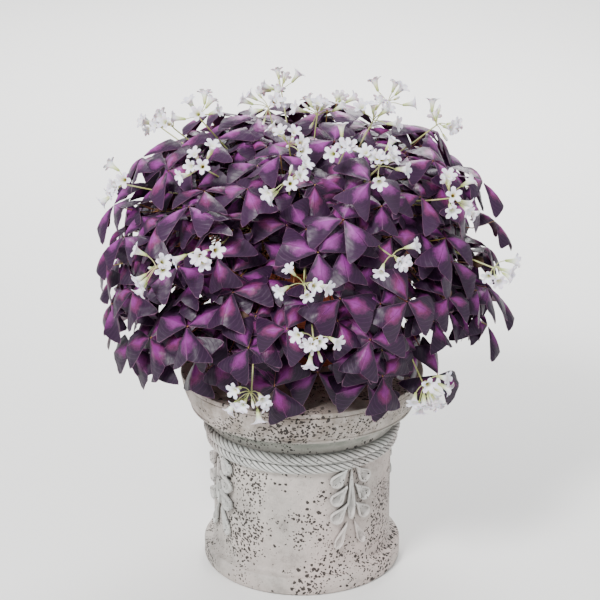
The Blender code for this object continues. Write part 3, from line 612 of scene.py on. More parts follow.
def draw_leaflet():
    clear_selection()
    along = len(LEAFLET_ROWS) - 1
    bpy.ops.mesh.primitive_grid_add(x_subdivisions=LEAFLET_ACROSS, y_subdivisions=along, size=1)
    flat = bpy.context.object
    flat.name = "flat_leaflet"
    flat.data.transform(Matrix.Translation((0, 0.5, 0)))
    for k in reversed(range(len(LEAFLET_ROWS))):
        row, width = LEAFLET_ROWS[k]
        drawn = k / along
        pick_verts(flat, lambda co: abs(co.y - drawn) < 0.02)
        bpy.ops.transform.translate(value=(0, row - drawn, 0))
        bpy.ops.transform.resize(value=(width, 1, 1), center_override=(0, row, 0))
    pick_verts(flat, lambda co: co.y > 0.99 and 0.05 < abs(co.x) < 0.30)
    bpy.ops.transform.translate(value=(0, EDGE_SWELL, 0))
    leave_edit()
    return flat


LEAFLET = draw_leaflet()
print("flat leaflet", len(LEAFLET.data.polygons), "faces")

# %% [markdown]
# The flat drawing gives each point its place on the map, and says which points lie on the rim. Both are
# stored in the mesh once, so every copy carries them.


# %% Give the leaflet its map and its rim
def map_leaflet(flat):
    mesh = flat.data
    lay_map(mesh, "leaflet", lambda co: (co.x + 0.5, co.y))
    shape = bmesh.new()
    shape.from_mesh(mesh)
    rim = [1.0 if vert.is_boundary else 0.0 for vert in shape.verts]
    shape.free()
    tone = mesh.color_attributes.new(name="tone", type="FLOAT_COLOR", domain="POINT")
    for item, value in zip(tone.data, rim):
        item.color = (0.5, 0.5, value, 1)
    mesh.materials.append(LEAF_UPPER)
    mesh.materials.append(LEAF_UNDER)
    return np.array([(v.co.x, v.co.y) for v in mesh.vertices]), np.array(rim)


FLAT_POINTS, FLAT_RIM = map_leaflet(LEAFLET)
print("rim points", int(FLAT_RIM.sum()), "of", len(FLAT_RIM))

# %% [markdown]
# ## Fitting a leaflet to the plain leaf
# The plain leaf gives the hub, the two corners and the notch between them. Lines from the hub fan out to
# the straight edge from the notch to each corner, and a point of the flat drawing goes to its place on
# that fan. The surface is then folded along the midrib, more in some leaves than in others, swelled a
# little on each side of it and arched along its length, so it does not look cut from card.

# %% Fit a leaflet
PUFF = 0.0012
ARCH = 0.0034
RIPPLE = 0.0011
LEAST_FOLD = 0.0020
FOLD_SPAN = 0.0090


def fitted_points(hub, normal, leaflet, chance):
    right, notch, left = leaflet
    across, along = FLAT_POINTS[:, 0] * 2, FLAT_POINTS[:, 1]
    reach = np.abs(across)[:, None]
    side = np.where(across[:, None] > 0, np.array(right), np.array(left))
    edge = np.array(notch) * (1 - reach) + side * reach
    points = np.array(hub) + (edge - np.array(hub)) * along[:, None]
    swell = PUFF * np.sin(math.pi * np.clip(np.abs(across), 0, 1)) * along
    arch = ARCH * 4 * along * (1 - along)
    ripple = RIPPLE * np.sin(9 * across + 6 * chance) * along
    fold = (LEAST_FOLD + FOLD_SPAN * (chance * 7 % 1)) * (0.4 - np.abs(across)) * along
    return points + np.array(normal) * (swell + arch + ripple + fold)[:, None]


def place_leaflet(hub, normal, leaflet, chance, light):
    copy = LEAFLET.copy()
    copy.data = LEAFLET.data.copy()
    bpy.context.scene.collection.objects.link(copy)
    points = fitted_points(hub, normal, leaflet, chance)
    copy.data.vertices.foreach_set("co", points.astype(np.float32).ravel())
    tone = copy.data.color_attributes["tone"].data
    colours = np.ones((len(points), 4), np.float32)
    colours[:, 0], colours[:, 1], colours[:, 2] = chance, light, FLAT_RIM
    tone.foreach_set("color", colours.ravel())
    return copy


# %% [markdown]
# ## More leaves under the first ones
# A real plant has several hundred leaves, many of them in the shade of the outer ones. Each leaf of the
# solid model gets up to three companions. They sit deeper in the dome and a little aside, are turned and
# tilted, and share the owner's root. The gap at the front, through which the pot shows, stays free.

# %% Companion leaves
DOME_HEART = Vector((POT_X, POT_Y, TOP_Z + 0.10))
# Each companion draws its depth from one of these ranges, and how far aside it sits from the next one
DEPTHS = ((0.010, 0.024), (0.022, 0.040), (0.040, 0.062))
ASIDE = (0.020, 0.038)
TILT = 0.42
GAP_HALF_WIDTH = 0.062
GAP_TOP = TOP_Z + 0.112
LEAST_ABOVE_STONE = 0.014
COMPANION_SIZES = (0.78, 0.98)
COMPANION_TURNS = (0.6, 1.5)
TRIES = 6


def in_gap(point):
    return abs(point.x - POT_X) < GAP_HALF_WIDTH and point.y < POT_Y and point.z < GAP_TOP


def moved_leaf(leaf, turn, size, hub, tilt, tilt_axis):
    spin = Matrix.Rotation(tilt, 3, tilt_axis) @ Matrix.Rotation(turn, 3, leaf["normal"]) * size
    leaflets = [tuple(hub + spin @ (point - leaf["hub"]) for point in part) for part in leaf["leaflets"]]
    count = len(leaf["path"])
    shift = hub - leaf["hub"]
    path = [point + shift * ((count - k) / count) for k, point in enumerate(leaf["path"])]
    normal = Matrix.Rotation(tilt, 3, tilt_axis) @ leaf["normal"]
    return {"hub": hub, "normal": normal, "leaflets": leaflets, "path": path}


def companions(leaf, dice):
    found = []
    away = (leaf["hub"] - DOME_HEART).normalized()
    for low, high in DEPTHS:
        for _ in range(TRIES):
            aside = Vector([dice.gauss(0, 1) for _ in range(3)]).cross(away).normalized()
            hub = leaf["hub"] - away * dice.uniform(low, high) + aside * dice.uniform(*ASIDE)
            tilt_axis = Vector([dice.gauss(0, 1) for _ in range(3)]).normalized()
            size = dice.uniform(*COMPANION_SIZES)
            turn = dice.uniform(*COMPANION_TURNS)
            new = moved_leaf(leaf, turn, size, hub, dice.uniform(-TILT, TILT), tilt_axis)
            lowest = min(point.z for part in new["leaflets"] for point in part)
            if not in_gap(hub) and lowest > TOP_Z + LEAST_ABOVE_STONE:
                found.append(new)
                break
    return found


# %% [markdown]
# ## Building the clumps
# Each clump becomes one piece. Its leaflets are joined, and a Solidify modifier gives them the thickness
# of a leaf. The modifier also puts a second finish on the underside, which is plain maroon.

# %% Build the leaf clumps
LEAF_THICKNESS = 0.0005
SHADE_OF_COMPANIONS = 0.55
LOWEST_LIGHT = TOP_Z + 0.04
HIGHEST_LIGHT = TOP_Z + 0.32


def light_at(hub):
    return min(1.0, max(0.0, (hub.z - LOWEST_LIGHT) / (HIGHEST_LIGHT - LOWEST_LIGHT)))


def build_clump(name, leaves, dice):
    made = []
    for leaf, is_companion in leaves:
        chance = dice.random()
        light = light_at(leaf["hub"]) * (SHADE_OF_COMPANIONS if is_companion else 1.0)
        for leaflet in leaf["leaflets"]:
            made.append(place_leaflet(leaf["hub"], leaf["normal"], leaflet, chance, light))
    clump = joined(made, name)
    apply_modifier(clump, "SOLIDIFY", thickness=LEAF_THICKNESS, offset=-1, material_offset=1, use_rim=True)
    smooth(clump, 60)
    return clump


CLUMPS = {}
ALL_STALKS = []
for order, (node, leaves) in enumerate(LEAVES.items()):
    dice = random.Random(500 + order)
    full = [(leaf, False) for leaf in leaves]
    for leaf in leaves:
        full += [(extra, True) for extra in companions(leaf, dice)]
    CLUMPS[node] = build_clump(node.replace("leaf_clump", "leaves"), full, dice)
    ALL_STALKS += [leaf for leaf, _ in full]
print("clumps", len(CLUMPS), "leaves", len(ALL_STALKS))

# %% [markdown]
# ## Stalks
# A stalk is a thin, smooth tube. A curve with a round bevel is the natural way to make one: the points
# of the path are few, a smooth line is drawn through them, and the curve is turned into a mesh.


# %% Draw thin stems as curves
def smooth_line(points, steps):
    """Points of a smooth line that passes through the given ones."""
    ends = [points[0] * 2 - points[1], *points, points[-1] * 2 - points[-2]]
    line = []
    spans = len(points) - 1
    for k in range(steps + 1):
        place = min(k / steps * spans, spans - 1e-6)
        span, t = int(place), place - int(place)
        a, b, c, d = ends[span:span + 4]
        bend = (2 * a - 5 * b + 4 * c - d) * t * t
        twist = (3 * b - a - 3 * c + d) * t ** 3
        line.append(((2 * b) + (c - a) * t + bend + twist) / 2)
    return line


def draw_stems(name, paths, finish, thickness):
    """One mesh of tubes; each path is (points, radius at its root, radius at its tip)."""
    curve = round_curve(name, thickness, 1, finish)
    curve.use_fill_caps = True
    for points, root, tip in paths:
        spline = curve.splines.new("POLY")
        spline.points.add(len(points) - 1)
        for k, (slot, point) in enumerate(zip(spline.points, points)):
            slot.co = (*point, 1)
            slot.radius = root + (tip - root) * k / (len(points) - 1)
    thing = meshed(curve)
    smooth(thing, 60)
    return thing


STALK_RADIUS = 0.0011
STALK_POINTS = 10
stalk_paths = []
for leaf in ALL_STALKS:
    points = list(reversed([leaf["hub"] - leaf["normal"] * LEAF_THICKNESS * 0.5, *leaf["path"][1:]]))
    stalk_paths.append((smooth_line(points, STALK_POINTS), 1.0, 0.7))
STALKS = draw_stems("leaf_stalks", stalk_paths, STALK, STALK_RADIUS)
print("stalks", len(stalk_paths), "faces", len(STALKS.data.polygons))

# %% [markdown]
# ## One flower
# The flower is a funnel with five rounded lobes. It starts as a small circle of twenty points, extruded
# and widened ring by ring. In the last rings the points between two petals are held back, and that cuts
# the lobes. It stands on its base and opens upwards, so that a copy only needs a turn and a place.

# %% Model the flower
PETALS = 5
FUNNEL = ((0.0008, 0.0), (0.0018, 0.0014), (0.0021, 0.0040), (0.0030, 0.0100), (0.0046, 0.0150))
PETAL_RINGS = (
    (0.0070, 0.0176, 0.0050, 0.0066),
    (0.0098, 0.0190, 0.0053, 0.0094),
    (0.0116, 0.0188, 0.0055, 0.0100),
)
PETAL_THICKNESS = 0.00035


def extrude_ring(dz, scale, centre):
    bpy.ops.mesh.extrude_edges_move(TRANSFORM_OT_translate={"value": (0, 0, dz)})
    bpy.ops.transform.resize(value=(scale, scale, 1), center_override=centre)


def petal_turn(co):
    """How far round its petal a point lies: 0 at the middle, 0.5 between two petals."""
    turn = math.atan2(co.y, co.x) / (math.tau / PETALS)
    return abs(turn - round(turn))


def model_flower():
    clear_selection()
    radius, height = FUNNEL[0]
    bpy.ops.mesh.primitive_circle_add(vertices=4 * PETALS, radius=radius, location=(0, 0, 0))
    flower = bpy.context.object
    flower.name = "flower"
    flower.data.transform(Matrix.Rotation(math.pi / 2, 4, "Z"))
    bpy.ops.object.mode_set(mode="EDIT")
    bpy.ops.mesh.select_all(action="SELECT")
    for wide, high in FUNNEL[1:] + tuple(petal[:2] for petal in PETAL_RINGS):
        extrude_ring(high - height, wide / radius, (0, 0, high))
        radius, height = wide, high
    for wide, high, sinus, flank in PETAL_RINGS:
        for turn, radius in ((0.5, sinus), (0.25, flank)):
            def held(co, wide=wide, high=high, turn=turn):
                on_ring = abs(math.hypot(co.x, co.y) - wide) < 0.0002 and abs(co.z - high) < 0.0001
                return on_ring and abs(petal_turn(co) - turn) < 0.04
            pick_verts(flower, held)
            bpy.ops.transform.resize(value=(radius / wide, radius / wide, 1), center_override=(0, 0, high))
            if turn == 0.5:
                bpy.ops.transform.translate(value=(0, 0, -0.0012))
    leave_edit()
    facing_out(flower)
    return flower


FLOWER = model_flower()
FLOWER_LENGTH = PETAL_RINGS[-1][1]
print("flower", len(FLOWER.data.vertices), "points")


# %% Map the flower and give it thickness
def finish_flower(flower):
    widest = PETAL_RINGS[-1][0]

    def flat_place(co):
        along = 0.6 * co.z / FLOWER_LENGTH + 0.4 * math.hypot(co.x, co.y) / widest
        return (math.atan2(co.y, co.x) / math.tau + 0.5, along)

    lay_map(flower.data, "flower", flat_place)
    flower.data.materials.append(PETAL)
    apply_modifier(flower, "SOLIDIFY", thickness=PETAL_THICKNESS, offset=1)
    smooth(flower, 50)


finish_flower(FLOWER)
print("flower faces", len(FLOWER.data.polygons))

# %% [markdown]
# ## One bud
# A bud is a closed spindle: the same petals, still rolled together. It needs only a few faces, so a
# ring of eight points is extruded five times and merged at the tip.

# %% Model the bud
BUD_RINGS = ((0.0007, 0.0), (0.0015, 0.0014), (0.0017, 0.0045), (0.0023, 0.0100), (0.0016, 0.0138))
BUD_SIDES = 8
BUD_TIP = 0.0016
BUD_LENGTH = BUD_RINGS[-1][1] + BUD_TIP


def model_bud():
    clear_selection()
    radius, height = BUD_RINGS[0]
    bpy.ops.mesh.primitive_circle_add(vertices=BUD_SIDES, radius=radius, fill_type="NGON", location=(0, 0, 0))
    bud = bpy.context.object
    bud.name = "bud"
    bpy.ops.object.mode_set(mode="EDIT")
    bpy.ops.mesh.select_all(action="SELECT")
    for wide, high in BUD_RINGS[1:]:
        bpy.ops.mesh.extrude_region_move(TRANSFORM_OT_translate={"value": (0, 0, high - height)})
        bpy.ops.transform.resize(value=(wide / radius, wide / radius, 1), center_override=(0, 0, high))
        radius, height = wide, high
    bpy.ops.mesh.extrude_region_move(TRANSFORM_OT_translate={"value": (0, 0, BUD_TIP)})
    bpy.ops.mesh.merge(type="CENTER")
    leave_edit()
    facing_out(bud)

    def flat_place(co):
        return (math.atan2(co.y, co.x) / math.tau + 0.5, 0.1 + 0.8 * co.z / BUD_LENGTH)

    lay_map(bud.data, "flower", flat_place)
    bud.data.materials.append(PETAL)
    smooth(bud, 60)
    return bud


BUD = model_bud()
print("bud", len(BUD.data.polygons), "faces")

# %% [markdown]
# ## Umbels
# Flowers of this plant sit in umbels: several short stems spread from one knot at the top of a long one.
# Each flower of the solid model is matched, and every umbel gets a few more flowers and buds between
# them, on stems of their own.

# %% Place the flowers and buds
EXTRA_FLOWERS = {1: 2, 2: 3, 3: 3, 4: 4, 5: 5, 6: 6}
MOST_EXTRA = 3
EXTRA_SPREAD = 0.62
BUD_SPREAD = 1.0
EXTRA_REACH = (0.008, 0.018)
SCAPE_RADIUS = 0.0012
SCAPE_POINTS = 14
SCAPE_TAPER = 0.8
PEDICEL_SHARE = 0.5
PEDICEL_POINTS = 5
SEAT_IN_CALYX = 0.0004
THROAT_SINK = 0.0006


def standing_matrix(base, facing, toward):
    side = (toward - facing * toward.dot(facing)).normalized()
    return Matrix.Translation(base) @ Matrix((side, facing.cross(side), facing)).transposed().to_4x4()


def placed_copy(model, matrix):
    copy = model.copy()
    copy.data = model.data.copy()
    bpy.context.scene.collection.objects.link(copy)
    copy.data.transform(matrix)
    return copy


def bent_stem(knot, base, facing):
    middle = (knot + base) / 2 + UP * 0.002 - facing * 0.001
    return smooth_line([knot, middle, base], PEDICEL_POINTS)


def umbel(spec, dice):
    things, stems = [], []
    knot = sum((f["path"][-1] for f in spec["flowers"]), Vector()) / len(spec["flowers"])
    for flower in spec["flowers"]:
        base = flower["middle"] - flower["facing"] * (FLOWER_LENGTH - THROAT_SINK)
        things.append(placed_copy(FLOWER, standing_matrix(base, flower["facing"], flower["lobe"])))
        stems.append(bent_stem(knot, base + flower["facing"] * SEAT_IN_CALYX, flower["facing"]))
    mean = sum((f["facing"] for f in spec["flowers"]), Vector()).normalized()
    extra = EXTRA_FLOWERS.get(len(spec["flowers"]), MOST_EXTRA)
    for k in range(extra + dice.choice((1, 1, 2))):
        is_flower = k < extra
        spread = EXTRA_SPREAD if is_flower else BUD_SPREAD
        facing = (mean + Vector([dice.gauss(0, spread) for _ in range(3)]) * 0.8).normalized()
        base = knot + facing * dice.uniform(*EXTRA_REACH)
        model = FLOWER if is_flower else BUD
        size = Matrix.Scale(dice.uniform(0.85, 1.0), 4)
        turn = Vector((dice.random(), dice.random(), 0.3))
        things.append(placed_copy(model, standing_matrix(base, facing, turn) @ size))
        stems.append(bent_stem(knot, base + facing * SEAT_IN_CALYX, facing))
    return things, stems, knot


UMBEL_PIECES = {}
flower_stems = []
for order, (node, spec) in enumerate(UMBELS.items()):
    dice = random.Random(900 + order)
    things, stems, knot = umbel(spec, dice)
    UMBEL_PIECES[node] = joined(things, node.replace("flower_umbel", "flowers"))
    flower_stems += [(stem, PEDICEL_SHARE, PEDICEL_SHARE) for stem in stems]
    flower_stems.append((smooth_line([*spec["stem"], knot], SCAPE_POINTS), 1.0, SCAPE_TAPER))
STEMS = draw_stems("flower_stems", flower_stems, SCAPE, SCAPE_RADIUS)
print("umbels", len(UMBEL_PIECES), "stems", len(flower_stems))

# %% [markdown]
# ## Bulbs
# Every clump of leaves grows from a small scaly bulb that just shows at the top of the soil. A rounded
# cone, turned from a circle of ten points, is enough for a thing that the leaves hide.

# %% Model the bulbs
BULB_PROFILE = ((0.0040, -0.0125), (0.0080, -0.0085), (0.0090, -0.0030), (0.0075, 0.0012), (0.0035, 0.0035))


def turned(name, profile, sides, centre, ring=False):
    """Extrudes a circle through (radius, height) pairs, up to a flat end or back to its start."""
    clear_selection()
    radius, height = profile[0]
    fill = "NOTHING" if ring else "NGON"
    x, y = centre
    bpy.ops.mesh.primitive_circle_add(vertices=sides, radius=radius, fill_type=fill, location=(x, y, height))
    thing = bpy.context.object
    thing.name = name
    bpy.ops.object.transform_apply(location=True, rotation=False, scale=False)
    bpy.ops.object.mode_set(mode="EDIT")
    bpy.ops.mesh.select_all(action="SELECT")
    extrude = bpy.ops.mesh.extrude_edges_move if ring else bpy.ops.mesh.extrude_region_move
    for wide, high in profile[1:]:
        extrude(TRANSFORM_OT_translate={"value": (0, 0, high - height)})
        bpy.ops.transform.resize(value=(wide / radius, wide / radius, 1), center_override=(x, y, high))
        radius, height = wide, high
    if ring:
        def is_end(co):
            reach = math.hypot(co.x - x, co.y - y)
            return any(abs(reach - r) < 1e-5 and abs(co.z - h) < 1e-5 for r, h in (profile[0], profile[-1]))
        pick_verts(thing, is_end)
        bpy.ops.mesh.select_mode(type="EDGE")
        bpy.ops.mesh.bridge_edge_loops()
    leave_edit()
    facing_out(thing)
    return thing


def bulb_spot(node):
    low = [v.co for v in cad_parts[node].data.vertices if v.co.z < SOIL_TOP - 0.008]
    return sum(low, Vector()) / len(low)


def make_bulbs():
    made = []
    for node in LEAF_NODES:
        spot = bulb_spot(node)
        profile = [(r, SOIL_TOP + h) for r, h in BULB_PROFILE]
        made.append(turned(f"bulb_{node}", profile, 10, (spot.x, spot.y)))
    bulbs = joined(made, "bulbs")
    skin = Finish("bulb_skin", 0.7)
    skin.shader.inputs["Base Color"].default_value = (0.085, 0.040, 0.024, 1)
    bulbs.data.materials.append(skin.material)
    smooth(bulbs, 60)
    return bulbs


BULBS = make_bulbs()
print("bulbs", len(BULBS.data.polygons))

# %% [markdown]
# ## The stone pedestal, turned
# The pedestal is round, so it is made as a turner would make it: a circle is extruded upwards ring by
# ring, and each ring takes its width from the profile. The profile follows the solid model: a foot, a
# plain shaft, a hollow cove under the rim, a sharp arris, a wide band and a thin lip.

# %% Turn the pedestal
RIM_RADIUS = (PEDESTAL_HIGH[0] - PEDESTAL_LOW[0]) / 2
SHAFT_RADIUS = 0.126
FOOT_RADIUS = 0.141
COVE_RADIUS = 0.1335
ARRIS_RADIUS = 0.157
BAND_RADIUS = 0.168
STONE_SIDES = 144
FOOT_HEIGHT = 0.026
SHAFT_FROM = 0.034
SHAFT_TO = TOP_Z - 0.108
COVE_FROM = TOP_Z - 0.073
COVE_RISE = 0.024
BAND_FROM = TOP_Z - 0.043
BAND_RISE = 0.034


def pedestal_profile():
    rings = [(FOOT_RADIUS - 0.004, 0.0), (FOOT_RADIUS - 0.001, 0.0012), (FOOT_RADIUS, 0.004)]
    rings += [(FOOT_RADIUS, 0.023), (FOOT_RADIUS - 0.002, FOOT_HEIGHT)]
    for k in range(1, 6):
        turn = k / 5 * math.pi / 2
        out = SHAFT_RADIUS + 0.013 * (1 - math.sin(turn))
        rings.append((out, FOOT_HEIGHT + (SHAFT_FROM - FOOT_HEIGHT) * (1 - math.cos(turn))))
    rings += [(SHAFT_RADIUS, SHAFT_FROM + (SHAFT_TO - SHAFT_FROM) * k / 12) for k in range(1, 13)]
    rings += [(SHAFT_RADIUS + 0.001, TOP_Z - 0.104), (SHAFT_RADIUS + 0.003, TOP_Z - 0.090)]
    rings.append((COVE_RADIUS - 0.003, TOP_Z - 0.076))
    for k in range(9):
        turn = k / 8 * math.pi / 2
        out = COVE_RADIUS + (ARRIS_RADIUS - 0.0015 - COVE_RADIUS) * (1 - math.cos(turn))
        rings.append((out, COVE_FROM + COVE_RISE * math.sin(turn)))
    rings += [(ARRIS_RADIUS, TOP_Z - 0.0485), (ARRIS_RADIUS + 0.0005, TOP_Z - 0.0465)]
    rings += [(ARRIS_RADIUS - 0.0008, TOP_Z - 0.0452), (ARRIS_RADIUS + 0.001, BAND_FROM)]
    swelling = BAND_RADIUS - ARRIS_RADIUS - 0.001
    for k in range(1, 9):
        t = k / 8
        rings.append((ARRIS_RADIUS + 0.001 + swelling * math.sin(t * math.pi / 2), BAND_FROM + BAND_RISE * t))
    rings += [(BAND_RADIUS - 0.0020, TOP_Z - 0.0078), (RIM_RADIUS - 0.0007, TOP_Z - 0.0068)]
    rings += [(RIM_RADIUS, TOP_Z - 0.0040), (RIM_RADIUS - 0.0006, TOP_Z - 0.0010)]
    rings += [(RIM_RADIUS - 0.0025, TOP_Z - 0.0002)]
    rings += [(radius, TOP_Z) for radius in (0.162, 0.14, 0.11, 0.08, 0.04, 0.01)]
    return rings


PEDESTAL = turned("pedestal_stone", pedestal_profile(), STONE_SIDES, (0, 0))
PEDESTAL.data.materials.append(STONE)
smooth(PEDESTAL, 45)
print("pedestal", len(PEDESTAL.data.polygons), "faces")

# %% [markdown]
# ## The two ropes
# A carved rope is a bundle of strands that wind round one another. Six curves wind round a ring, fourteen
# times each, and lie close together. Their bevels make the strands, so the grooves between them come by
# themselves and lean the way a right-handed rope leans.

# %% Carve the ropes
ROPES = {
    "upper": {"depth": 0.083, "ring": 0.1315, "radius": 0.0081},
    "lower": {"depth": 0.0985, "ring": 0.1290, "radius": 0.0073},
}
ROPE_STRANDS = 6
ROPE_TURNS = 14
ROPE_POINTS = 192
STRAND_SHARE = 0.36
GROOVE_DEPTH = 0.34


def rope(name, depth, ring, radius):
    strand = radius * STRAND_SHARE
    reach = radius - strand
    curve = round_curve(name, strand, 2, ROPE_STONE)
    for start in range(ROPE_STRANDS):
        spline = curve.splines.new("POLY")
        spline.points.add(ROPE_POINTS - 1)
        spline.use_cyclic_u = True
        for k, slot in enumerate(spline.points):
            azimuth = math.tau * k / ROPE_POINTS
            winding = math.tau * start / ROPE_STRANDS - ROPE_TURNS * azimuth
            out = ring + reach * math.cos(winding)
            height = TOP_Z - depth + reach * math.sin(winding)
            slot.co = (out * math.sin(azimuth), -out * math.cos(azimuth), height, 1)
    thing = meshed(curve)
    mark_grooves(thing, depth, ring, radius)
    smooth(thing, 60)
    return thing


def mark_grooves(thing, depth, ring, radius):
    """Marks how deep each point lies inside the rope; the finish paints the deep points dark as shade."""
    groove = thing.data.attributes.new("groove", "FLOAT", "POINT")
    for vert, item in zip(thing.data.vertices, groove.data):
        across = math.hypot(vert.co.x, vert.co.y) - ring
        inside = 1 - math.hypot(across, vert.co.z - (TOP_Z - depth)) / radius
        item.value = min(1.0, max(0.0, inside / GROOVE_DEPTH))


ROPE_PIECES = [rope(f"rope_{name}", **sizes) for name, sizes in ROPES.items()]
print("ropes", [len(piece.data.polygons) for piece in ROPE_PIECES])

# %% [markdown]
# ## The carved drops
# Under the ropes hang drops of paired teardrops. A teardrop is drawn flat as a circle whose upper points
# are pulled to a tip. It is extruded, inset and pressed in, which leaves a raised border round a shallow
# hollow, and one level of subdivision rounds it. Copies are then wrapped round the shaft.

# %% Model one teardrop
TEAR_PULLS = (
    (0.48, 0.6, 1.0, 0.78),
    (0.45, 0.48, 0.42, 0.55),
    (0.38, 0.45, 0.52, 0.34),
    (0.26, 0.38, 0.68, 0.18),
    (0.12, 0.26, 0.86, 0.06),
)
TEAR_BODY = 0.42
TEAR_RIM = 0.06
TEAR_HOLLOW = 0.20
TEAR_SHADED_BELOW = 0.36


def model_teardrop():
    clear_selection()
    bpy.ops.mesh.primitive_circle_add(vertices=20, radius=0.5, fill_type="NGON", location=(0, 0, 0))
    tear = bpy.context.object
    tear.name = "teardrop"
    for low, high, narrow, lift in TEAR_PULLS:
        pick_verts(tear, lambda co, low=low, high=high: low <= co.y < high)
        bpy.ops.transform.resize(value=(narrow, 1, 1), center_override=(0, 0, 0))
        bpy.ops.transform.translate(value=(0, lift, 0))
        leave_edit()
    only(tear)
    bpy.ops.object.mode_set(mode="EDIT")
    bpy.ops.mesh.select_all(action="SELECT")
    bpy.ops.mesh.extrude_region_move(TRANSFORM_OT_translate={"value": (0, 0, TEAR_BODY)})
    bpy.ops.mesh.inset(thickness=0.10)
    bpy.ops.transform.translate(value=(0, 0, TEAR_RIM))
    bpy.ops.mesh.inset(thickness=0.09)
    bpy.ops.transform.translate(value=(0, 0, -TEAR_HOLLOW))
    bpy.ops.mesh.inset(thickness=0.08)
    leave_edit()
    facing_out(tear)
    apply_modifier(tear, "SUBSURF", levels=1, render_levels=1)
    # Painted shade: the drop is darkened towards the shaft, and a little in its hollow.
    groove = tear.data.attributes.new("groove", "FLOAT", "POINT")
    for vert, item in zip(tear.data.vertices, groove.data):
        item.value = max(0.0, min(1.0, (TEAR_SHADED_BELOW - vert.co.z) / TEAR_SHADED_BELOW))
    tear.data.materials.append(ROPE_STONE)
    smooth(tear, 60)
    return tear


TEARDROP = model_teardrop()
print("teardrop", len(TEARDROP.data.polygons), "faces")

# %% Hang the drops on the shaft
DROP_AZIMUTHS = (-62, 31, 118, 211)
DROP_TOP = TOP_Z - 0.104
DROP_ASIDE = 0.004
DROP_STEP = 0.0272
DROP_PARTS = [(0.0, 0.006, 0.085, 0.012, 0.0, 0.0085)]
for level in range(3):
    for hand in (-1, 1):
        DROP_PARTS.append((hand * DROP_ASIDE, 0.004 - DROP_STEP * level, 0.037, 0.0205, hand * 40, 0.0095))
for hand in (-1, 1):
    DROP_PARTS.append((hand * DROP_ASIDE, -0.078, 0.046, 0.013, hand * 23, 0.0075))
TEAR_TIP = 1.28
TEAR_LENGTH = 1.78
TEAR_HEIGHT = 0.48
TEAR_SUNK = 0.002


def wrapped_tear(azimuth, side, height, length, width, lean, proud):
    copy = placed_copy(TEARDROP, Matrix.Identity(4))
    lean = math.radians(lean)
    for vert in copy.data.vertices:
        along = (TEAR_TIP - vert.co.y) / TEAR_LENGTH * length
        wide = vert.co.x * width
        across = side + along * math.sin(lean) + wide * math.cos(lean)
        level = height - along * math.cos(lean) + wide * math.sin(lean)
        turn = azimuth + across / SHAFT_RADIUS
        out = SHAFT_RADIUS - TEAR_SUNK + vert.co.z / TEAR_HEIGHT * (proud + TEAR_SUNK)
        vert.co = (out * math.sin(turn), -out * math.cos(turn), level)
    return copy


def hang_drops():
    made = []
    for degrees in DROP_AZIMUTHS:
        azimuth = math.radians(degrees)
        for side, lift, length, width, lean, proud in DROP_PARTS:
            made.append(wrapped_tear(azimuth, side, DROP_TOP + lift, length, width, lean, proud))
    drops = joined(made, "carved_drops")
    facing_out(drops)
    smooth(drops, 60)
    return drops


DROPS = hang_drops()
print("drops", len(DROPS.data.polygons), "faces")

# %% [markdown]
# ## The clay pot
# The pot is turned like the pedestal, but as a closed ring: from the drain hole out under the base, up
# the wall, round the collar and rim, down the inside and back to the hole. A closed ring has a true wall.

# %% Turn the pot
POT_RIM_RADIUS = (POT_HIGH[0] - POT_LOW[0]) / 2
POT_BASE_RADIUS = 0.062
POT_COLLAR_RADIUS = 0.104
COLLAR_HEIGHT = 0.034
POT_WALL = 0.008
POT_FLOOR = 0.010
DRAIN_RADIUS = 0.009
POT_SIDES = 96


def pot_profile():
    low, high = POT_LOW[2], POT_HIGH[2]
    collar = high - COLLAR_HEIGHT
    widening = POT_COLLAR_RADIUS - POT_BASE_RADIUS
    rings = [(DRAIN_RADIUS, low), (POT_BASE_RADIUS - 0.002, low), (POT_BASE_RADIUS, low + 0.002)]
    for k in range(1, 9):
        t = k / 8
        rings.append((POT_BASE_RADIUS + widening * t, low + 0.002 + (collar - low - 0.002) * t))
    rings += [(POT_RIM_RADIUS - 0.002, collar + 0.0005), (POT_RIM_RADIUS - 0.0005, collar + 0.002)]
    rings += [(POT_RIM_RADIUS, high - 0.003), (POT_RIM_RADIUS - 0.0015, high)]
    rings += [(POT_RIM_RADIUS - POT_WALL + 0.0015, high), (POT_RIM_RADIUS - POT_WALL, high - 0.003)]
    floor = low + POT_FLOOR
    inner_base = POT_BASE_RADIUS - POT_WALL + widening * POT_FLOOR / (collar - low)
    rings += [(POT_COLLAR_RADIUS - POT_WALL, collar), (inner_base, floor), (DRAIN_RADIUS, floor)]
    return rings


POT = turned("clay_pot", pot_profile(), POT_SIDES, (POT_X, POT_Y), ring=True)
POT.data.materials.append(TERRACOTTA)
smooth(POT, 40)
print("pot", len(POT.data.polygons), "faces")

# %% [markdown]
# ## Put the pieces on the body
# Every piece rides on the one body; where it stands for a solid, that solid is hidden.
# The flat drawings and models that were only copied are removed.

# %% Ride and replace
for model in (LEAFLET, FLOWER, BUD, TEARDROP):
    bpy.data.objects.remove(model)


def hand_over(piece, slot, *nodes):
    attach(piece, "root")
    if nodes:
        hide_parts(*nodes)


for node, piece in CLUMPS.items():
    hand_over(piece, "leaf", node)
for node, piece in UMBEL_PIECES.items():
    hand_over(piece, "flower", node)
hand_over(STALKS, "leaf")
hand_over(BULBS, "leaf")
hand_over(STEMS, "flower")
hand_over(PEDESTAL, "stone", "stone_pedestal")
for piece in ROPE_PIECES:
    hand_over(piece, "stone")
hand_over(DROPS, "stone")
hand_over(POT, "terracotta", "terracotta_pot")
soil_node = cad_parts["soil"]
soil_node.data.materials.clear()
soil_node.data.materials.append(SOIL)
print("clumps and umbels handed over", len(CLUMPS) + len(UMBEL_PIECES))

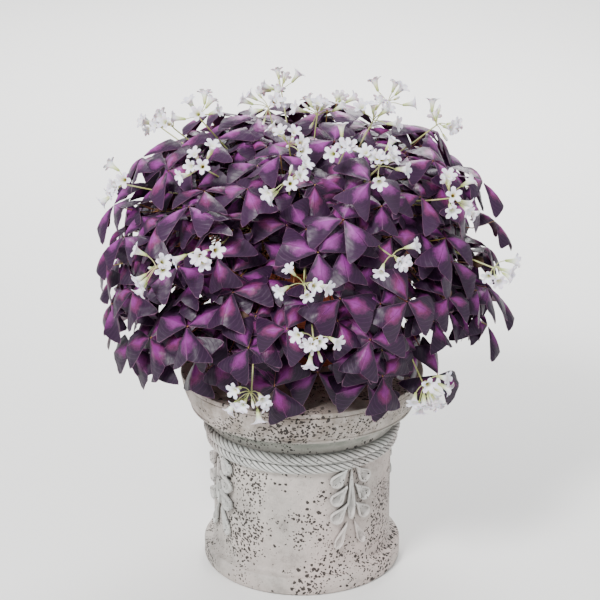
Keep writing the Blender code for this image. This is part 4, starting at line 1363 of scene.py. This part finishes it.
# %% [markdown]
# ## Floor, light and camera
# The floor is a large pale sheet. The light is that of a bright overcast day: one broad source from the
# upper left, a weaker one from the right, one behind and a large one over the far floor, in a pale
# surround. The camera looks down at twenty degrees, which is where the rope's ring shows the same
# ellipse as in the photograph.

# %% Make the floor
FLOOR_SIZE = 14.0
FLOOR_DROP = 0.0005


def make_floor():
    clear_selection()
    bpy.ops.mesh.primitive_plane_add(size=FLOOR_SIZE, location=(0, 0, -FLOOR_DROP))
    floor = bpy.context.object
    floor.name = "floor"
    bpy.ops.object.transform_apply(location=True)
    f = Finish("pale_floor", 0.7)
    f.shader.inputs["Base Color"].default_value = (0.86, 0.85, 0.83, 1)
    floor.data.materials.append(f.material)
    return floor


print("stage", make_floor().name)


# %% Light the scene
def soft_light(name, place, size, power, target=(0, 0, 0.4)):
    lamp = bpy.data.lights.new(name, "AREA")
    lamp.shape = "DISK"
    lamp.size = size
    lamp.energy = power
    thing = bpy.data.objects.new(name, lamp)
    bpy.context.scene.collection.objects.link(thing)
    thing.location = place
    aim = Vector(target) - Vector(place)
    thing.rotation_euler = aim.to_track_quat("-Z", "Y").to_euler()


soft_light("key_light", (-1.4, -2.2, 2.9), 0.9, 190)
soft_light("fill_light", (2.2, -1.8, 1.4), 1.8, 22)
soft_light("back_light", (0.5, 2.4, 2.2), 1.4, 60)
soft_light("backdrop_light", (0, 3.6, 3.0), 3.0, 260, (0, 4.2, 0))
print("lamps", len(bpy.data.lights))
world = bpy.data.worlds.new("pale_surround")
world.use_nodes = True
world.node_tree.nodes["Background"].inputs["Color"].default_value = (0.86, 0.89, 0.92, 1)
world.node_tree.nodes["Background"].inputs["Strength"].default_value = 0.75
bpy.context.scene.world = world

# %% Place the camera
VIEW_TILT = math.radians(20)
VIEW_DISTANCE = 2.5
VIEW_TARGET = Vector((-0.0028, 0.0316, 0.3728))
LENS_LENGTH = 107
SENSOR_WIDTH = 36
camera = bpy.data.objects.new("camera", bpy.data.cameras.new("camera"))
bpy.context.scene.collection.objects.link(camera)
camera.data.lens = LENS_LENGTH
camera.data.sensor_width = SENSOR_WIDTH
camera.location = VIEW_TARGET + Vector((0, -math.cos(VIEW_TILT), math.sin(VIEW_TILT))) * VIEW_DISTANCE
camera.rotation_euler = (math.pi / 2 - VIEW_TILT, 0, 0)
bpy.context.scene.camera = camera
print("camera at", tuple(round(c, 3) for c in camera.location))

# %% [markdown]
# ## Bring the scene up to date
# The view layer is updated, so that every piece stands at its final place. The dressed model has to
# stay within a few millimetres of the box of the plain one.

# %% Update the scene
bpy.context.view_layer.update()
